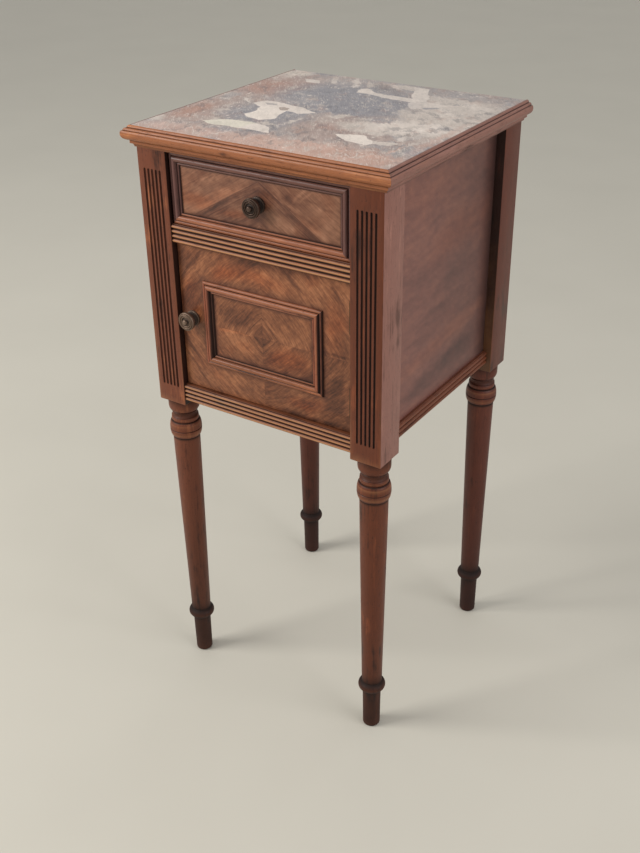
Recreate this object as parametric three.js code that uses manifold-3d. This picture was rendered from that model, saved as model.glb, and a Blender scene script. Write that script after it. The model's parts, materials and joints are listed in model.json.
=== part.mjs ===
// Marble-top bedside cabinet: one drawer over one cupboard on four turned legs.
// Millimetres, +Z up, front of the cabinet towards -Y.
// The origin lies on the floor under the middle of the cabinet's bounding box.

import * as THREE from 'three';
import { mergeVertices } from 'three/addons/utils/BufferGeometryUtils.js';
import Module from 'manifold-3d';

const wasm = await Module();
wasm.setup();

// Carcase
const bodyWidth = 358;
const bodyDepth = 358;
const postWidth = 45;
const postDepth = 46.5;
const legHeight = 458;
const postHeight = 355;
const bottomRailRise = 7;
const frontRailHeight = 25;
const frontRailThickness = 20;
const frontRailRecess = 1.5;
const doorOpeningHeight = 205;
const sideRailHeight = 20;
const sideRailRecess = 7;
const sidePanelRecess = 13;
const sidePanelThickness = 10;
const boardThickness = 10;
const backRecess = 4;
const backPanelThickness = 8;
const backRailThickness = 18;
const backTopRailHeight = 20;

// Flutes of the front posts
const fluteCount = 5;
const flutePitch = 6.1;
const fluteWidth = 3.4;
const fluteDepth = 2;
const fluteBottomMargin = 26;
const fluteTopMargin = 25;

// Reeds of the rails
const frontReedCount = 4;
const sideReedCount = 3;
const reedDepth = 2.2;
const reedGap = 1.7;

// Turned legs: heights above the floor and radii
const footRadius = 12.4;
const footRounding = 3.4;
const pegTopRadius = 13.1;
const pegHeight = 67.5;
const ringRadius = 19.5;
const ringHeight = 15;
const shaftBottomRadius = 14.4;
const shaftTopRadius = 19.2;
const shaftTopHeight = 397;
const cushionRadius = 22.7;
const cushionHeight = 25;
const inciseDepth = 0.8;
const inciseWidth = 1.8;
const collarRadius = 19.2;
const collarHeight = 9;
const neckRadius = 17;
const neckHeight = 438;
const drumRadius = 21.9;
const drumRise = 9;

// Top
const marbleThickness = 20;
const marbleSideOverhang = 4.6;
const marbleFrontOverhang = 1.8;
const topBoardThickness = 7;
const topBackSetback = 3;
const ledgeWidth = 16;
const slopeReach = 7.8;
const slopeDrop = 6.2;
const slopeBeadCount = 2;
const slopeBeadRise = 0.85;
const slopeQuirk = 1;
const noseReach = 9.7;
const noseDrop = 9.6;
const noseLand = 1.2;
const ovoloHeight = 7.6;
const ovoloReach = 7.9;
const filletQuirk = 0.9;
const coveReach = 3.9;
const coveRise = 4.4;

// Mitred moulding on the drawer front and on the door
const mouldingWidth = 15.5;
const mouldingRise = 5.5;
const doorFrameLeftMargin = 38.75;
const doorFrameRightMargin = 42.5;
const doorFrameTopMargin = 44.5;
const doorFrameBottomMargin = 40.5;

// Drawer
const drawerRecess = 8.5;
const drawerFrontThickness = 18;
const drawerTopGap = 1.2;
const drawerSideGap = 1;
const drawerSideThickness = 9;
const drawerSideHeight = 78;
const drawerRearRoom = 31.5;
const drawerBackThickness = 9;
const drawerBackDrop = 8;
const drawerBottomThickness = 5;
const drawerBottomRise = 7;
const grooveDepth = 4;
const tailCount = 3;
const tailLength = 11;
const guideHeight = 15;
const stopHeight = 4;
const stopLength = 30;
const stopDepth = 12;
const stopSpread = 120;

// Door
const doorRecess = 8.5;
const doorThickness = 18;
const doorEndGap = 1;
const doorHingeGap = 1;
const doorLatchGap = 1.5;
const doorStopWidth = 8;
const doorStopDepth = 10;
const doorStopMargin = 6;

// Knobs and their nuts
const knobLength = 20.5;
const knobRadius = 12.6;
const knobFlangeRadius = 10.6;
const knobNeckRadius = 5.4;
const knobBossRadius = 3.6;
const shankRadius = 2.5;
const nutRadius = 6;
const nutThickness = 4;
const shankTail = 2;
const doorKnobInset = 18.3;

// Hinges
const hingeLength = 40;
const hingeMargin = 24;
const leafThickness = 1.4;
const leafWidth = 15;
const leafGap = 0.2;
const knuckleRadius = 2;
const knuckleLift = 0.2;
const knuckleCount = 3;
const knuckleGap = 0.3;
const pinRadius = 1;
const pinHeadRadius = 1.8;
const pinHeadHeight = 1.4;

// Ball catch of the door
const catchRadius = 3.5;
const catchLength = 14;
const catchNose = 0.6;
const catchPlateThickness = 1.2;
const catchPlateWidth = 11;
const catchPlateHeight = 30;
const catchHoleRadius = 2.6;
const catchRise = 60;

// Clearances and facets
const fitGap = 0.3;
const runningGap = 0.06;
const marbleGap = 0.4;
const mitreGap = 0.2;
const cutOverrun = 2;
const legSides = 24;
const smallSides = 20;
const fluteSides = 10;
const fluteCapSteps = 3;
const roundSteps = 5;
const weldDistance = 1e-4;

// Shares of the sizes that they follow
const tailTipShare = 0.68;
const tailRootShare = 0.46;
const mouldingShares = [
  [0, 0], [0, 0.24], [0.04, 0.42], [0.1, 0.52], [0.16, 0.48], [0.2, 0.3], [0.25, 0.62],
  [0.32, 0.88], [0.43, 1], [0.54, 0.96], [0.65, 0.8], [0.73, 0.54], [0.77, 0.32],
  [0.82, 0.4], [0.88, 0.42], [0.93, 0.36], [0.96, 0.22], [1, 0.18], [1, 0],
];
// Along the knob from the panel, then out to its radius
const knobLengthShares = {
  flange: 0.12, flangeEdge: 0.16, neckBack: 0.24, neckFront: 0.42, rimBack: 0.6, rimFront: 0.76,
  face: 0.86, ring: 0.84, dish: 0.8, bossEdge: 0.92,
};
const knobRingShares = [0.86, 0.68, 0.46];

// Levels and places that follow from the sizes above
const halfWidth = bodyWidth / 2;
const halfDepth = bodyDepth / 2;
const openingHalf = halfWidth - postWidth;
const postInnerY = halfDepth - postDepth;
const postTop = legHeight + postHeight;
const bottomRailZ = legHeight + bottomRailRise;
const floorZ = bottomRailZ + frontRailHeight;
const middleRailZ = floorZ + doorOpeningHeight;
const partitionZ = middleRailZ + frontRailHeight;
const railFrontY = frontRailRecess - halfDepth;
const railBackY = railFrontY + frontRailThickness;
const panelOuterX = halfWidth - sidePanelRecess;
const panelInnerX = panelOuterX - sidePanelThickness;
const backOuterY = halfDepth - backRecess;
const backInnerY = backOuterY - backPanelThickness;
const backRailY = backOuterY - backRailThickness;
const topBackY = halfDepth - topBackSetback;
const marbleHalfX = halfWidth + marbleSideOverhang;
const marbleFrontY = -halfDepth - marbleFrontOverhang;
const mouldingInnerX = marbleHalfX + marbleGap;
const mouldingInnerY = marbleFrontY - marbleGap;
const mouldingHeight = topBoardThickness + marbleThickness;
const marbleZ = postTop + topBoardThickness;

const drawerFaceY = drawerRecess - halfDepth;
const drawerBackFaceY = drawerFaceY + drawerFrontThickness;
const drawerHalf = openingHalf - drawerSideGap;
const drawerInnerX = drawerHalf - drawerSideThickness;
const drawerZ = partitionZ + fitGap;
const drawerTopZ = postTop - drawerTopGap;
const drawerRearY = backInnerY - drawerRearRoom;
const drawerMidZ = (drawerZ + drawerTopZ) / 2;
const bottomPanelZ = drawerZ + drawerBottomRise;

const doorFaceY = doorRecess - halfDepth;
const doorBackY = doorFaceY + doorThickness;
const doorLeftX = doorLatchGap - openingHalf;
const doorRightX = openingHalf - doorHingeGap;
const doorZ = floorZ + doorEndGap;
const doorTopZ = middleRailZ - doorEndGap;
const doorMidZ = (doorZ + doorTopZ) / 2;
const doorKnobX = doorLeftX + doorKnobInset;
const catchZ = doorZ + catchRise;
const catchY = (doorFaceY + doorBackY) / 2;

const hingeAxisX = openingHalf - knuckleLift / 2 - knuckleRadius;
const hingeAxisY = doorFaceY - knuckleRadius - knuckleLift;
const doorLeafX = openingHalf - 2 * leafThickness - leafGap;

const frontReach = Math.max(noseReach - mouldingInnerY, knobLength - doorFaceY);
const frameShift = (frontReach - halfDepth) / 2;

// Colours of the finishes
const walnut = { color: 0x7d4e33, roughness: 0.42, metalness: 0 };
const veneer = { color: 0x8a5a38, roughness: 0.38, metalness: 0 };
const innerWood = { color: 0xa07a52, roughness: 0.7, metalness: 0 };
const marble = { color: 0xa89a92, roughness: 0.3, metalness: 0 };
const bronze = { color: 0x4a3f36, roughness: 0.4, metalness: 0.8 };
const brass = { color: 0xa9854a, roughness: 0.35, metalness: 0.9 };

// Shape helpers

function welded(geometry) {
  const bare = geometry.clone();
  bare.deleteAttribute('normal');
  bare.deleteAttribute('uv');
  const merged = mergeVertices(bare, weldDistance);
  const kept = [];
  const index = merged.index.array;
  for (let i = 0; i < index.length; i += 3) {
    const [a, b, c] = [index[i], index[i + 1], index[i + 2]];
    if (a !== b && b !== c && c !== a) kept.push(a, b, c);
  }
  merged.setIndex(kept);
  return merged;
}

function toSolid(geometry) {
  const clean = welded(geometry);
  return new wasm.Manifold(new wasm.Mesh({
    numProp: 3,
    vertProperties: new Float32Array(clean.attributes.position.array),
    triVerts: new Uint32Array(clean.index.array),
  }));
}

function toGeometry(solid) {
  const mesh = solid.getMesh();
  const geometry = new THREE.BufferGeometry();
  geometry.setAttribute('position', new THREE.Float32BufferAttribute(mesh.vertProperties, mesh.numProp));
  geometry.setIndex([...mesh.triVerts]);
  return geometry;
}

function joined(...geometries) {
  return toGeometry(geometries.map(toSolid).reduce((sum, next) => sum.add(next)));
}

function cut(body, ...tools) {
  return toGeometry(tools.map(toSolid).reduce((rest, tool) => rest.subtract(tool), toSolid(body)));
}

function block([x0, x1], [y0, y1], [z0, z1]) {
  const geometry = new THREE.BoxGeometry(x1 - x0, y1 - y0, z1 - z0);
  return geometry.translate((x0 + x1) / 2, (y0 + y1) / 2, (z0 + z1) / 2);
}

function prism(outline, from, to) {
  const shape = new THREE.Shape(outline.map(([u, v]) => new THREE.Vector2(u, v)));
  const geometry = new THREE.ExtrudeGeometry(shape, { depth: to - from, bevelEnabled: false });
  return geometry.translate(0, 0, from);
}

function turned(geometry, xAxis, yAxis, zAxis) {
  const axes = [xAxis, yAxis, zAxis].map((axis) => new THREE.Vector3(...axis));
  return geometry.applyMatrix4(new THREE.Matrix4().makeBasis(...axes));
}

// Outline points are [y, z]; the prism runs along X
function prismAlongX(outline, from, to) {
  return turned(prism(outline, from, to), [0, 1, 0], [0, 0, 1], [1, 0, 0]);
}

// Outline points are [x, z]; the prism runs along Y
function prismAlongY(outline, from, to) {
  const swapped = outline.map(([x, z]) => [z, x]);
  return turned(prism(swapped, from, to), [0, 0, 1], [1, 0, 0], [0, 1, 0]);
}

function rodAlongZ(radius, from, to, sides) {
  const geometry = new THREE.CylinderGeometry(radius, radius, to - from, sides);
  return geometry.rotateX(Math.PI / 2).translate(0, 0, (from + to) / 2);
}

// A turning: profile points are [radius, height] from the axis back to the axis
function turning(profile, sides) {
  const points = profile.map(([r, h]) => new THREE.Vector2(r, h));
  return welded(new THREE.LatheGeometry(points, sides)).rotateX(Math.PI / 2);
}

// Points of an ellipse about a centre, from one angle to another, in degrees
function arc([cx, cy], [rx, ry], fromDegrees, toDegrees, steps = roundSteps) {
  return Array.from({ length: steps + 1 }, (_, i) => {
    const angle = THREE.MathUtils.degToRad(fromDegrees + ((toDegrees - fromDegrees) * i) / steps);
    return [cx + rx * Math.cos(angle), cy + ry * Math.sin(angle)];
  });
}

// A bar of constant section [across, up] along X whose ends lean by a share of the across distance
function leaningBar(outline, start, end, startLean, endLean) {
  const area = THREE.ShapeUtils.area(outline.map(([u, v]) => ({ x: u, y: v })));
  const section = area < 0 ? [...outline].reverse() : outline;
  const count = section.length;
  const positions = [];
  for (const [u, v] of section) positions.push(start + startLean * u, u, v);
  for (const [u, v] of section) positions.push(end + endLean * u, u, v);
  const faces = THREE.ShapeUtils.triangulateShape(section.map(([u, v]) => new THREE.Vector2(u, v)), []);
  const index = [];
  for (const [a, b, c] of faces) index.push(c, b, a, a + count, b + count, c + count);
  for (let i = 0; i < count; i += 1) {
    const next = (i + 1) % count;
    index.push(i, next, next + count, i, next + count, i + count);
  }
  const geometry = new THREE.BufferGeometry();
  geometry.setAttribute('position', new THREE.Float32BufferAttribute(positions, 3));
  geometry.setIndex(index);
  return geometry;
}

function piece(name, geometry, finish) {
  const mesh = new THREE.Mesh(welded(geometry), new THREE.MeshStandardMaterial(finish));
  mesh.geometry.computeVertexNormals();
  mesh.name = name;
  return mesh;
}

const sidesOfX = [['left', -1], ['right', 1]];

// Legs: square fluted post above, turned leg below, each one piece of wood

function legProfile() {
  const ringTop = pegHeight + ringHeight;
  const ringMiddle = pegHeight + ringHeight / 2;
  const cushionMiddle = shaftTopHeight + cushionHeight / 2;
  const cushionTop = shaftTopHeight + cushionHeight;
  const drumZ = neckHeight + drumRise;
  return [
    [0, 0],
    [footRadius - footRounding, 0],
    ...arc([footRadius - footRounding, footRounding], [footRounding, footRounding], -60, 0, 3),
    [pegTopRadius, pegHeight],
    ...arc([pegTopRadius, ringMiddle], [ringRadius - pegTopRadius, ringHeight / 2], -75, 75, 7),
    [shaftBottomRadius, ringTop],
    [shaftTopRadius, shaftTopHeight],
    ...arc([shaftTopRadius, cushionMiddle], [cushionRadius - shaftTopRadius, cushionHeight / 2], -75, -12, 3),
    [cushionRadius, cushionMiddle - inciseWidth],
    [cushionRadius - inciseDepth, cushionMiddle - inciseWidth / 2],
    [cushionRadius, cushionMiddle],
    ...arc([collarRadius, cushionMiddle], [cushionRadius - collarRadius, cushionHeight / 2], 20, 75, 3),
    [collarRadius, cushionTop],
    [collarRadius, neckHeight - collarHeight],
    [neckRadius, neckHeight],
    ...arc([neckRadius, drumZ], [drumRadius - neckRadius, drumRise], -80, 0, 4),
    [drumRadius, legHeight + cutOverrun],
    [0, legHeight + cutOverrun],
  ];
}

function flute(x, fromZ, toZ) {
  const radius = (fluteWidth ** 2 / 4 + fluteDepth ** 2) / (2 * fluteDepth);
  const length = toZ - fromZ - 2 * radius;
  const tool = new THREE.CapsuleGeometry(radius, length, fluteCapSteps, fluteSides);
  return tool.rotateX(Math.PI / 2).translate(x, fluteDepth - radius - halfDepth, (fromZ + toZ) / 2);
}

function catchRecess() {
  const halfPlate = catchPlateHeight / 2 + fitGap;
  return block(
    [-openingHalf - catchPlateThickness - fitGap, cutOverrun - openingHalf],
    [catchY - catchPlateWidth / 2 - fitGap, catchY + catchPlateWidth / 2 + fitGap],
    [catchZ - halfPlate, catchZ + halfPlate],
  );
}

function leg(sideX, front) {
  const centreX = sideX * (halfWidth - postWidth / 2);
  const centreY = (front ? -1 : 1) * (halfDepth - postDepth / 2);
  const square = block(
    [centreX - postWidth / 2, centreX + postWidth / 2],
    [centreY - postDepth / 2, centreY + postDepth / 2],
    [legHeight, postTop],
  );
  const whole = joined(square, turning(legProfile(), legSides).translate(centreX, centreY, 0));
  if (!front) return whole;
  const tools = Array.from({ length: fluteCount }, (_, i) => flute(
    centreX + (i - (fluteCount - 1) / 2) * flutePitch,
    legHeight + fluteBottomMargin,
    postTop - fluteTopMargin,
  ));
  if (sideX < 0) tools.push(catchRecess());
  return cut(whole, ...tools);
}

function legs() {
  return [['front', true], ['back', false]].flatMap(([end, front]) => (
    sidesOfX.map(([side, sign]) => piece(`leg_${end}_${side}`, leg(sign, front), walnut))
  ));
}

// Rails with rounded reeds; outline points are [distance behind the crests, height]

function reededOutline(thickness, height, reedCount) {
  const pitch = height / reedCount;
  const halfReed = (pitch - reedGap) / 2;
  const points = [[thickness, height], [thickness, 0]];
  for (let i = 0; i < reedCount; i += 1) {
    points.push(...arc([reedDepth, (i + 0.5) * pitch], [-reedDepth, halfReed], -90, 90));
  }
  return points;
}

function frontRail(z) {
  const outline = reededOutline(frontRailThickness, frontRailHeight, frontReedCount);
  return prismAlongX(outline.map(([d, h]) => [railFrontY + d, z + h]), -openingHalf, openingHalf);
}

function sideRail(sign) {
  const thickness = halfWidth - sideRailRecess - panelInnerX;
  const outline = reededOutline(thickness, sideRailHeight, sideReedCount);
  const crest = halfWidth - sideRailRecess;
  const placed = outline.map(([d, h]) => [sign * (crest - d), floorZ - sideRailHeight + h]);
  return prismAlongY(placed, -postInnerY, postInnerY);
}

// A board that fills the carcase between the posts, notched round them
function notchedBoard(backY, topZ) {
  const half = [
    [openingHalf, railBackY], [openingHalf, -postInnerY], [panelInnerX, -postInnerY],
    [panelInnerX, postInnerY], [openingHalf, postInnerY], [openingHalf, backY],
  ];
  const mirrored = [...half].reverse().map(([x, y]) => [-x, y]);
  return prism([...half, ...mirrored], topZ - boardThickness, topZ);
}

function carcaseBoards() {
  const opening = [-openingHalf, openingHalf];
  const between = [-postInnerY, postInnerY];
  const behind = [backRailY, backOuterY];
  const guideZ = [partitionZ, partitionZ + guideHeight];
  const railUnderTop = [postTop - backTopRailHeight, postTop];
  const pieces = [
    piece('middle_rail', frontRail(middleRailZ), walnut),
    piece('bottom_rail', frontRail(bottomRailZ), walnut),
    piece('partition_board', notchedBoard(backInnerY, partitionZ), innerWood),
    piece('cupboard_floor', notchedBoard(backRailY, floorZ), innerWood),
    piece('back_panel', block(opening, [backInnerY, backOuterY], [floorZ, railUnderTop[0]]), innerWood),
    piece('back_top_rail', block(opening, behind, railUnderTop), walnut),
    piece('back_bottom_rail', block(opening, behind, [bottomRailZ, floorZ]), walnut),
  ];
  for (const [side, sign] of sidesOfX) {
    const panelX = sign > 0 ? [panelInnerX, panelOuterX] : [-panelOuterX, -panelInnerX];
    const guideX = sign > 0 ? [openingHalf, panelInnerX] : [-panelInnerX, -openingHalf];
    const stopX = (sign * stopSpread) / 2;
    const stopY = drawerBackFaceY + fitGap;
    pieces.push(
      piece(`side_panel_${side}`, block(panelX, between, [floorZ, postTop]), veneer),
      piece(`side_rail_${side}`, sideRail(sign), walnut),
      piece(`drawer_guide_${side}`, block(guideX, between, guideZ), innerWood),
      piece(`drawer_stop_${side}`, block(
        [stopX - stopLength / 2, stopX + stopLength / 2],
        [stopY, stopY + stopDepth],
        [partitionZ, partitionZ + stopHeight],
      ), innerWood),
    );
  }
  return pieces;
}

// Top: marble in a rebated frame that is mitred at the front corners

// Section points are [outwards from the marble, up from the posts]
function topMouldingOutline() {
  const ledge = -marbleGap - ledgeWidth;
  const slopeFoot = mouldingHeight - slopeDrop;
  const noseTop = mouldingHeight - noseDrop;
  const ovoloTop = noseTop - noseLand;
  const ovoloFoot = ovoloTop - ovoloHeight;
  const stepReach = noseReach - ovoloReach;
  const outline = [
    [ledge, 0],
    ...arc([stepReach, 0], [-coveReach, coveRise], 0, 90),
    [stepReach, ovoloFoot - filletQuirk],
    [stepReach - filletQuirk, ovoloFoot - filletQuirk / 2],
    ...arc([stepReach, ovoloTop], [ovoloReach, ovoloHeight], -88, 0),
    ...arc([slopeReach, noseTop], [noseReach - slopeReach, noseDrop - slopeDrop], 0, 88, 3),
  ];
  outline.push(...slopeBeads([slopeReach, slopeFoot], [0, mouldingHeight]));
  outline.push([0, mouldingHeight], [0, topBoardThickness], [ledge, topBoardThickness]);
  return outline;
}

// Round beads with a narrow quirk below each, up a slope from one point to another
function slopeBeads([u0, v0], [u1, v1]) {
  const length = Math.hypot(u1 - u0, v1 - v0);
  const along = [(u1 - u0) / length, (v1 - v0) / length];
  const outward = [along[1], -along[0]];
  const beadLength = length / slopeBeadCount - slopeQuirk;
  const points = [];
  const place = (distance, rise) => [
    u0 + along[0] * distance + outward[0] * rise,
    v0 + along[1] * distance + outward[1] * rise,
  ];
  for (let i = 0; i < slopeBeadCount; i += 1) {
    const start = (i * length) / slopeBeadCount;
    points.push(place(start + slopeQuirk / 2, -slopeBeadRise));
    for (let step = 0; step < roundSteps; step += 1) {
      const share = step / roundSteps;
      points.push(place(start + slopeQuirk + beadLength * share, slopeBeadRise * Math.sin(Math.PI * share)));
    }
  }
  return points;
}

function topPieces() {
  const outline = topMouldingOutline();
  const half = mouldingInnerX - mitreGap;
  const front = leaningBar(outline, -half, half, -1, 1);
  const sideLength = halfDepth - mouldingInnerY;
  const right = leaningBar(outline, 0, sideLength, 0, 1);
  const left = leaningBar(outline, 0, sideLength, -1, 0);
  const boardHalf = marbleHalfX - ledgeWidth - fitGap;
  const boardFront = marbleFrontY + ledgeWidth + fitGap;
  const meshes = [
    piece('marble_top', block([-marbleHalfX, marbleHalfX], [marbleFrontY, topBackY],
      [marbleZ, marbleZ + marbleThickness]), marble),
    piece('top_board', block([-boardHalf, boardHalf], [boardFront, topBackY], [postTop, marbleZ]), innerWood),
    piece('top_moulding_front', front, walnut),
    piece('top_moulding_right', right, walnut),
    piece('top_moulding_left', left, walnut),
  ];
  const [, , frontMesh, rightMesh, leftMesh] = meshes;
  frontMesh.rotation.z = Math.PI;
  frontMesh.position.set(0, mouldingInnerY, postTop);
  rightMesh.rotation.z = -Math.PI / 2;
  rightMesh.position.set(mouldingInnerX, halfDepth, postTop);
  leftMesh.rotation.z = Math.PI / 2;
  leftMesh.position.set(-mouldingInnerX, mouldingInnerY, postTop);
  return meshes;
}

// Mitred frame of four bars standing on a face that looks to -Y
function mitredFrame(name, width, height, faceY, middleX, middleZ) {
  const outline = mouldingShares.map(([across, up]) => [across * mouldingWidth, up * mouldingRise]);
  const bars = [
    ['bottom', width, height / 2], ['left', height, width / 2],
    ['top', width, height / 2], ['right', height, width / 2],
  ];
  return bars.map(([side, length, reach], quarter) => {
    const end = length / 2 - mitreGap / 2;
    const bar = leaningBar(outline, -end, end, 1, -1);
    turned(bar, [1, 0, 0], [0, 0, 1], [0, -1, 0]).translate(0, 0, -reach);
    const mesh = piece(`${name}_${side}`, bar, walnut);
    mesh.rotation.y = (quarter * Math.PI) / 2;
    mesh.position.set(middleX, faceY, middleZ);
    return mesh;
  });
}

// Knob turned about its own axis, which looks to -Y, with a shank through the panel

function knobProfile(panelThickness) {
  const at = (share) => share * knobLength;
  const along = knobLengthShares;
  const [rim, ring, dish] = knobRingShares.map((share) => share * knobRadius);
  return [
    [0, -panelThickness - nutThickness - shankTail],
    [shankRadius, -panelThickness - nutThickness - shankTail],
    [shankRadius, 0],
    [knobFlangeRadius, 0],
    [knobFlangeRadius, at(along.flange)],
    [(knobFlangeRadius + knobNeckRadius) / 2, at(along.flangeEdge)],
    [knobNeckRadius, at(along.neckBack)],
    [knobNeckRadius, at(along.neckFront)],
    [(knobNeckRadius + knobRadius) / 2, (at(along.neckFront) + at(along.rimBack)) / 2],
    [knobRadius, at(along.rimBack)],
    [knobRadius, at(along.rimFront)],
    [rim, at(along.face)],
    [ring, at(along.ring)],
    [dish, at(along.dish)],
    [knobBossRadius, at(along.dish)],
    [knobBossRadius, at(along.bossEdge)],
    [knobBossRadius / 2, knobLength],
    [0, knobLength],
  ];
}

function knobMeshes(name, panelThickness, faceY, x, z) {
  const nut = turning([
    [shankRadius + runningGap, 0], [nutRadius, 0], [nutRadius, nutThickness],
    [shankRadius + runningGap, nutThickness], [shankRadius + runningGap, 0],
  ], smallSides);
  const meshes = [
    piece(name, turning(knobProfile(panelThickness), smallSides), bronze),
    piece(`${name}_nut`, nut, brass),
  ];
  meshes[0].rotation.x = Math.PI / 2;
  meshes[0].position.set(x, faceY, z);
  meshes[1].rotation.x = -Math.PI / 2;
  meshes[1].position.set(x, faceY + panelThickness, z);
  return meshes;
}

function shankBore(x, z, fromY, toY) {
  const radius = shankRadius + fitGap;
  const bore = new THREE.CylinderGeometry(radius, radius, toY - fromY, smallSides);
  return bore.translate(x, (fromY + toY) / 2, z);
}

// Drawer: half-blind dovetails at the front, through dovetails at the back

// One tail of a drawer side as [y, z] points, from its root outwards
function tailPoints(rootY, tipY, index, grow) {
  const pitch = drawerSideHeight / tailCount;
  const middle = drawerZ + (index + 0.5) * pitch;
  const root = (tailRootShare * pitch) / 2 + grow;
  const tip = (tailTipShare * pitch) / 2 + grow;
  return [[rootY, middle - root], [tipY, middle - tip], [tipY, middle + tip], [rootY, middle + root]];
}

function drawerSide(sign) {
  const rearRoot = drawerRearY - drawerBackThickness;
  const indices = Array.from({ length: tailCount }, (_, i) => i);
  const frontTails = indices.flatMap((i) => tailPoints(drawerBackFaceY, drawerBackFaceY - tailLength, i, 0));
  const rearTails = indices.flatMap((i) => tailPoints(rearRoot, drawerRearY, i, 0)).reverse();
  const outline = [
    [drawerBackFaceY, drawerZ], ...frontTails, [drawerBackFaceY, drawerZ + drawerSideHeight],
    [rearRoot, drawerZ + drawerSideHeight], ...rearTails, [rearRoot, drawerZ],
  ];
  const limits = [drawerInnerX, drawerHalf];
  const board = sign > 0
    ? prismAlongX(outline, limits[0], limits[1])
    : prismAlongX(outline, -limits[1], -limits[0]);
  return cut(board, bottomGroove());
}

// The space that the drawer's bottom panel slides into, all round
function bottomGroove() {
  const reach = drawerInnerX + grooveDepth;
  return block(
    [-reach, reach],
    [drawerBackFaceY - grooveDepth, drawerRearY + cutOverrun],
    [bottomPanelZ - fitGap, bottomPanelZ + drawerBottomThickness + fitGap],
  );
}

function tailSockets(rootY, tipY) {
  const rootward = Math.sign(rootY - tipY) * cutOverrun;
  return sidesOfX.flatMap(([, sign]) => Array.from({ length: tailCount }, (_, i) => {
    const [low, lowTip, highTip, high] = tailPoints(rootY, tipY, i, fitGap);
    const outline = [[rootY + rootward, low[1]], low, lowTip, highTip, high, [rootY + rootward, high[1]]];
    const inner = drawerInnerX - fitGap;
    const outer = drawerHalf + cutOverrun;
    return sign > 0 ? prismAlongX(outline, inner, outer) : prismAlongX(outline, -outer, -inner);
  }));
}

function drawerPieces() {
  const board = block([-drawerHalf, drawerHalf], [drawerFaceY, drawerBackFaceY], [drawerZ, drawerTopZ]);
  const front = cut(
    board,
    ...tailSockets(drawerBackFaceY, drawerBackFaceY - tailLength - fitGap),
    bottomGroove(),
    shankBore(0, drawerMidZ, drawerFaceY - cutOverrun, drawerBackFaceY + cutOverrun),
  );
  const rearRoot = drawerRearY - drawerBackThickness;
  const backZ = bottomPanelZ + drawerBottomThickness + fitGap;
  const backTop = drawerZ + drawerSideHeight - drawerBackDrop;
  const back = cut(
    block([-drawerHalf, drawerHalf], [rearRoot, drawerRearY], [backZ, backTop]),
    ...tailSockets(rearRoot, drawerRearY + fitGap),
  );
  const bottomHalf = drawerInnerX + grooveDepth - fitGap;
  const bottom = block(
    [-bottomHalf, bottomHalf],
    [drawerBackFaceY - grooveDepth + fitGap, drawerRearY],
    [bottomPanelZ, bottomPanelZ + drawerBottomThickness],
  );
  return [
    piece('drawer_front', front, veneer),
    ...mitredFrame('drawer_moulding', 2 * drawerHalf, drawerTopZ - drawerZ, drawerFaceY, 0, drawerMidZ),
    ...sidesOfX.map(([side, sign]) => piece(`drawer_side_${side}`, drawerSide(sign), innerWood)),
    piece('drawer_back', back, innerWood),
    piece('drawer_bottom', bottom, innerWood),
    ...knobMeshes('drawer_knob', drawerFrontThickness, drawerFaceY, 0, drawerMidZ),
  ];
}

// Hinges: two leaves on a pin, with the knuckles in front of the door's face

function hingeRod(radius, fromZ, toZ) {
  return rodAlongZ(radius, fromZ, toZ, smallSides).translate(hingeAxisX, hingeAxisY, 0);
}

// Knuckles with even numbers belong to the post, the others to the door
function hingeLeaf(onDoor, baseZ) {
  const plateX = onDoor ? doorLeafX : openingHalf - leafThickness;
  const backY = doorFaceY + leafWidth;
  const parts = [block([plateX, plateX + leafThickness], [doorFaceY, backY], [baseZ, baseZ + hingeLength])];
  const pitch = hingeLength / knuckleCount;
  for (let i = onDoor ? 1 : 0; i < knuckleCount; i += 2) {
    const low = baseZ + i * pitch + (i > 0 ? knuckleGap / 2 : 0);
    const high = baseZ + (i + 1) * pitch - (i + 1 < knuckleCount ? knuckleGap / 2 : 0);
    parts.push(
      hingeRod(knuckleRadius, low, high),
      block([plateX, plateX + leafThickness], [hingeAxisY, doorFaceY + leafThickness], [low, high]),
    );
  }
  const bore = hingeRod(pinRadius + runningGap, baseZ - cutOverrun, baseZ + hingeLength + cutOverrun);
  return cut(joined(...parts), bore);
}

function hingePin(baseZ) {
  const underTopHead = baseZ + hingeLength + fitGap;
  const overBottomHead = baseZ - fitGap;
  return joined(
    hingeRod(pinRadius, overBottomHead, underTopHead),
    hingeRod(pinHeadRadius, underTopHead, underTopHead + pinHeadHeight),
    hingeRod(pinHeadRadius, overBottomHead - pinHeadHeight, overBottomHead),
  );
}

function hingeRecess(baseZ) {
  return block(
    [doorLeafX - fitGap, doorRightX + cutOverrun],
    [doorFaceY - cutOverrun, doorFaceY + leafWidth + fitGap],
    [baseZ - fitGap, baseZ + hingeLength + fitGap],
  );
}

const hinges = [
  ['lower', doorZ + hingeMargin],
  ['upper', doorTopZ - hingeMargin - hingeLength],
];

// Door, with its catch

function catchBarrel() {
  const barrel = turning([
    [0, 0], [catchRadius, 0], [catchRadius, catchLength],
    ...arc([0, catchLength], [catchRadius / 2, catchNose], 0, 90, 3).slice(0, -1),
    [0, catchLength + catchNose],
  ], smallSides);
  return barrel.rotateY(-Math.PI / 2).translate(doorLeftX + catchLength, catchY, catchZ);
}

function catchBore() {
  const length = catchLength + fitGap;
  const bore = rodAlongZ(catchRadius + fitGap, 0, length + cutOverrun, smallSides);
  return bore.rotateY(-Math.PI / 2).translate(doorLeftX + length, catchY, catchZ);
}

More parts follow.
